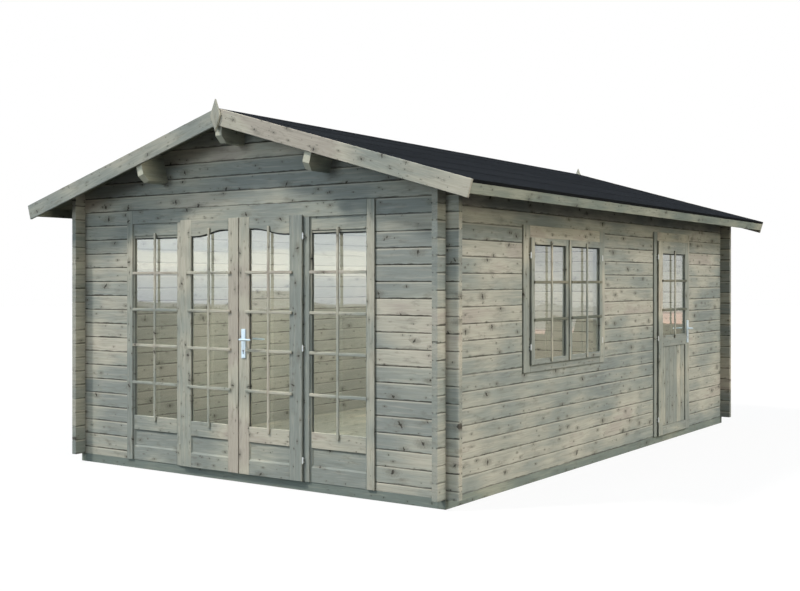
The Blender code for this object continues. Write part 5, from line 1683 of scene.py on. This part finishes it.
# %% Floor
def stage_mesh(name, shape, material):
    """Turn a shape into an object of its own, which is no part of the cabin."""
    mesh = bpy.data.meshes.new(name)
    shape.to_mesh(mesh)
    shape.free()
    mesh.materials.append(material)
    obj = bpy.data.objects.new(name, mesh)
    bpy.context.scene.collection.objects.link(obj)
    return obj


FLOOR_RADIUS = 60.0
FLOOR_GLOW = 0.90
floor_paint, net, shader = new_material("floor_paint")
shader.inputs["Base Color"].default_value = (0.08, 0.08, 0.08, 1.0)
shader.inputs["Roughness"].default_value = 0.9
shader.inputs["Specular IOR Level"].default_value = 0.0
glow = net.node("Emission", Color=(1.0, 1.0, 1.0, 1.0), Strength=net.math(
    "MULTIPLY", net.node("LightPath").outputs["Is Camera Ray"], FLOOR_GLOW))
both = net.node("AddShader")
net.feed(both.inputs[0], shader.outputs[0])
net.feed(both.inputs[1], glow.outputs[0])
net.surface(both)
shape = bmesh.new()
bmesh.ops.create_circle(shape, cap_ends=True, radius=FLOOR_RADIUS, segments=64)
floor = stage_mesh("studio_floor", shape, floor_paint)
floor.location.z = cad_box[0].z
floor.visible_glossy = False
print("floor at", round(floor.location.z, 4))

# %% [markdown]
# ## Reflected sky
# Glass is only as good as what it mirrors, so a wide dome stands round the scene that only
# shiny surfaces see. It holds bands of soft evening cloud above the horizon and dark land
# below it, so the panes mirror a sky in their upper part and let the eye into the room in
# their lower part. The half before the front, here called west, is bright. The half behind,
# which the long wall's panes mirror, is dimmer and rosy at its foot.
#
# The bands are laid by the rise above the horizon, in degrees, as seen from eye height.

# %% Cloud bands
DOME = 45.0
EYE = 1.49
# Far behind the cabin the whole horizon lies a little higher: from where on, and by how much.
RAISED_FROM, RAISED_TO, RAISED = 40.4, 41.3, 1.10
SKY_TURN = (-0.2, 0.2)       # where one half of the sky goes over into the other
sky_card, net, shader = new_material("reflected_sky")
x, y, z = net.parts(net.node("TexCoord").outputs["Object"])
flat = net.vmath("LENGTH", net.vector(x, y))
rise = net.math("ARCTAN2", net.math("SUBTRACT", z, EYE), flat)
rise = net.math("MULTIPLY", rise, 180 / math.pi)
rise = net.math("SUBTRACT", rise, net.math("MULTIPLY", net.step(y, RAISED_FROM, RAISED_TO), RAISED))
drift = net.noise(net.vector(net.math("MULTIPLY", x, 0.10), net.math("MULTIPLY", y, 0.10),
                             net.math("MULTIPLY", z, 1.3)), detail=4.0, roughness=0.6)
hills = net.noise(net.vector(net.math("MULTIPLY_ADD", x, 0.17, -1.14), net.math("MULTIPLY_ADD", y, 0.17, 0.47)),
                  detail=3.0)
cloud = net.math("ADD", rise, net.span(drift, 0.25, 0.75, -0.55, 0.55))
scale = net.span(cloud, -4.0, 6.0, 0.0, 1.0)
west = net.ramp(scale, (0.26, paint(138, 142, 157)), (0.38, paint(154, 162, 171)), (0.44, paint(180, 184, 184)),
                (0.475, paint(222, 223, 213)), (0.575, paint(218, 220, 212)), (0.60, paint(178, 188, 196)),
                (0.64, paint(196, 204, 208)), (1.0, paint(146, 164, 186)))
east = net.ramp(scale, (0.05, paint(184, 152, 136)), (0.12, paint(170, 148, 138)), (0.15, paint(126, 126, 122)),
                (0.33, paint(124, 125, 122)), (0.50, paint(106, 110, 118)), (1.0, paint(90, 96, 108)))
bands = net.mix(net.step(net.math("DIVIDE", y, flat), *SKY_TURN), west, east)
print("the sky's bands take", len(net.tree.nodes), "nodes so far")

# %% [markdown]
# ## Hills on the horizon
# Below the clouds lies dark land with a soft skyline. Three hills stand out of it, and their
# reflections give the panes the dark shapes that trees make in real ones. A hill is only a
# round patch of the dome where the skyline is raised.

# %% Hills and the dome
# Where a hill stands, its foot's and its top's radius in metres, and its height in degrees.
HILLS = ((-28.1, -35.3, 2.2, 0.9, 0.80), (21.85, 39.33, 0.62, 0.32, 1.10), (20.65, 39.98, 0.85, 0.45, 1.00))
LAND = paint(60, 58, 49)
LAND_WEST, LAND_EAST = -1.30, -3.35
SKY_GLOW = 4.4
skyline = net.math("ADD", net.span(hills, 0.30, 0.70, -0.30, 0.30),
                   net.span(net.math("DIVIDE", y, flat), *SKY_TURN, LAND_WEST, LAND_EAST))
for hill_x, hill_y, foot, top, height in HILLS:
    hill = net.vmath("LENGTH", net.vector(net.math("SUBTRACT", x, hill_x), net.math("SUBTRACT", y, hill_y)))
    skyline = net.math("ADD", skyline, net.math("MULTIPLY", net.step(hill, foot, top), height))
land = net.step(net.math("SUBTRACT", rise, skyline), 0.06, -0.06)
net.surface(net.node("Emission", Color=net.mix(land, bands, LAND), Strength=SKY_GLOW))
shape = bmesh.new()
bmesh.ops.create_uvsphere(shape, u_segments=64, v_segments=32, radius=DOME)
dome = stage_mesh("reflected_sky", shape, sky_card)
for way in ("camera", "diffuse", "shadow", "transmission", "volume_scatter"):
    setattr(dome, "visible_" + way, False)
print("dome radius", DOME, "with", len(HILLS), "hills")
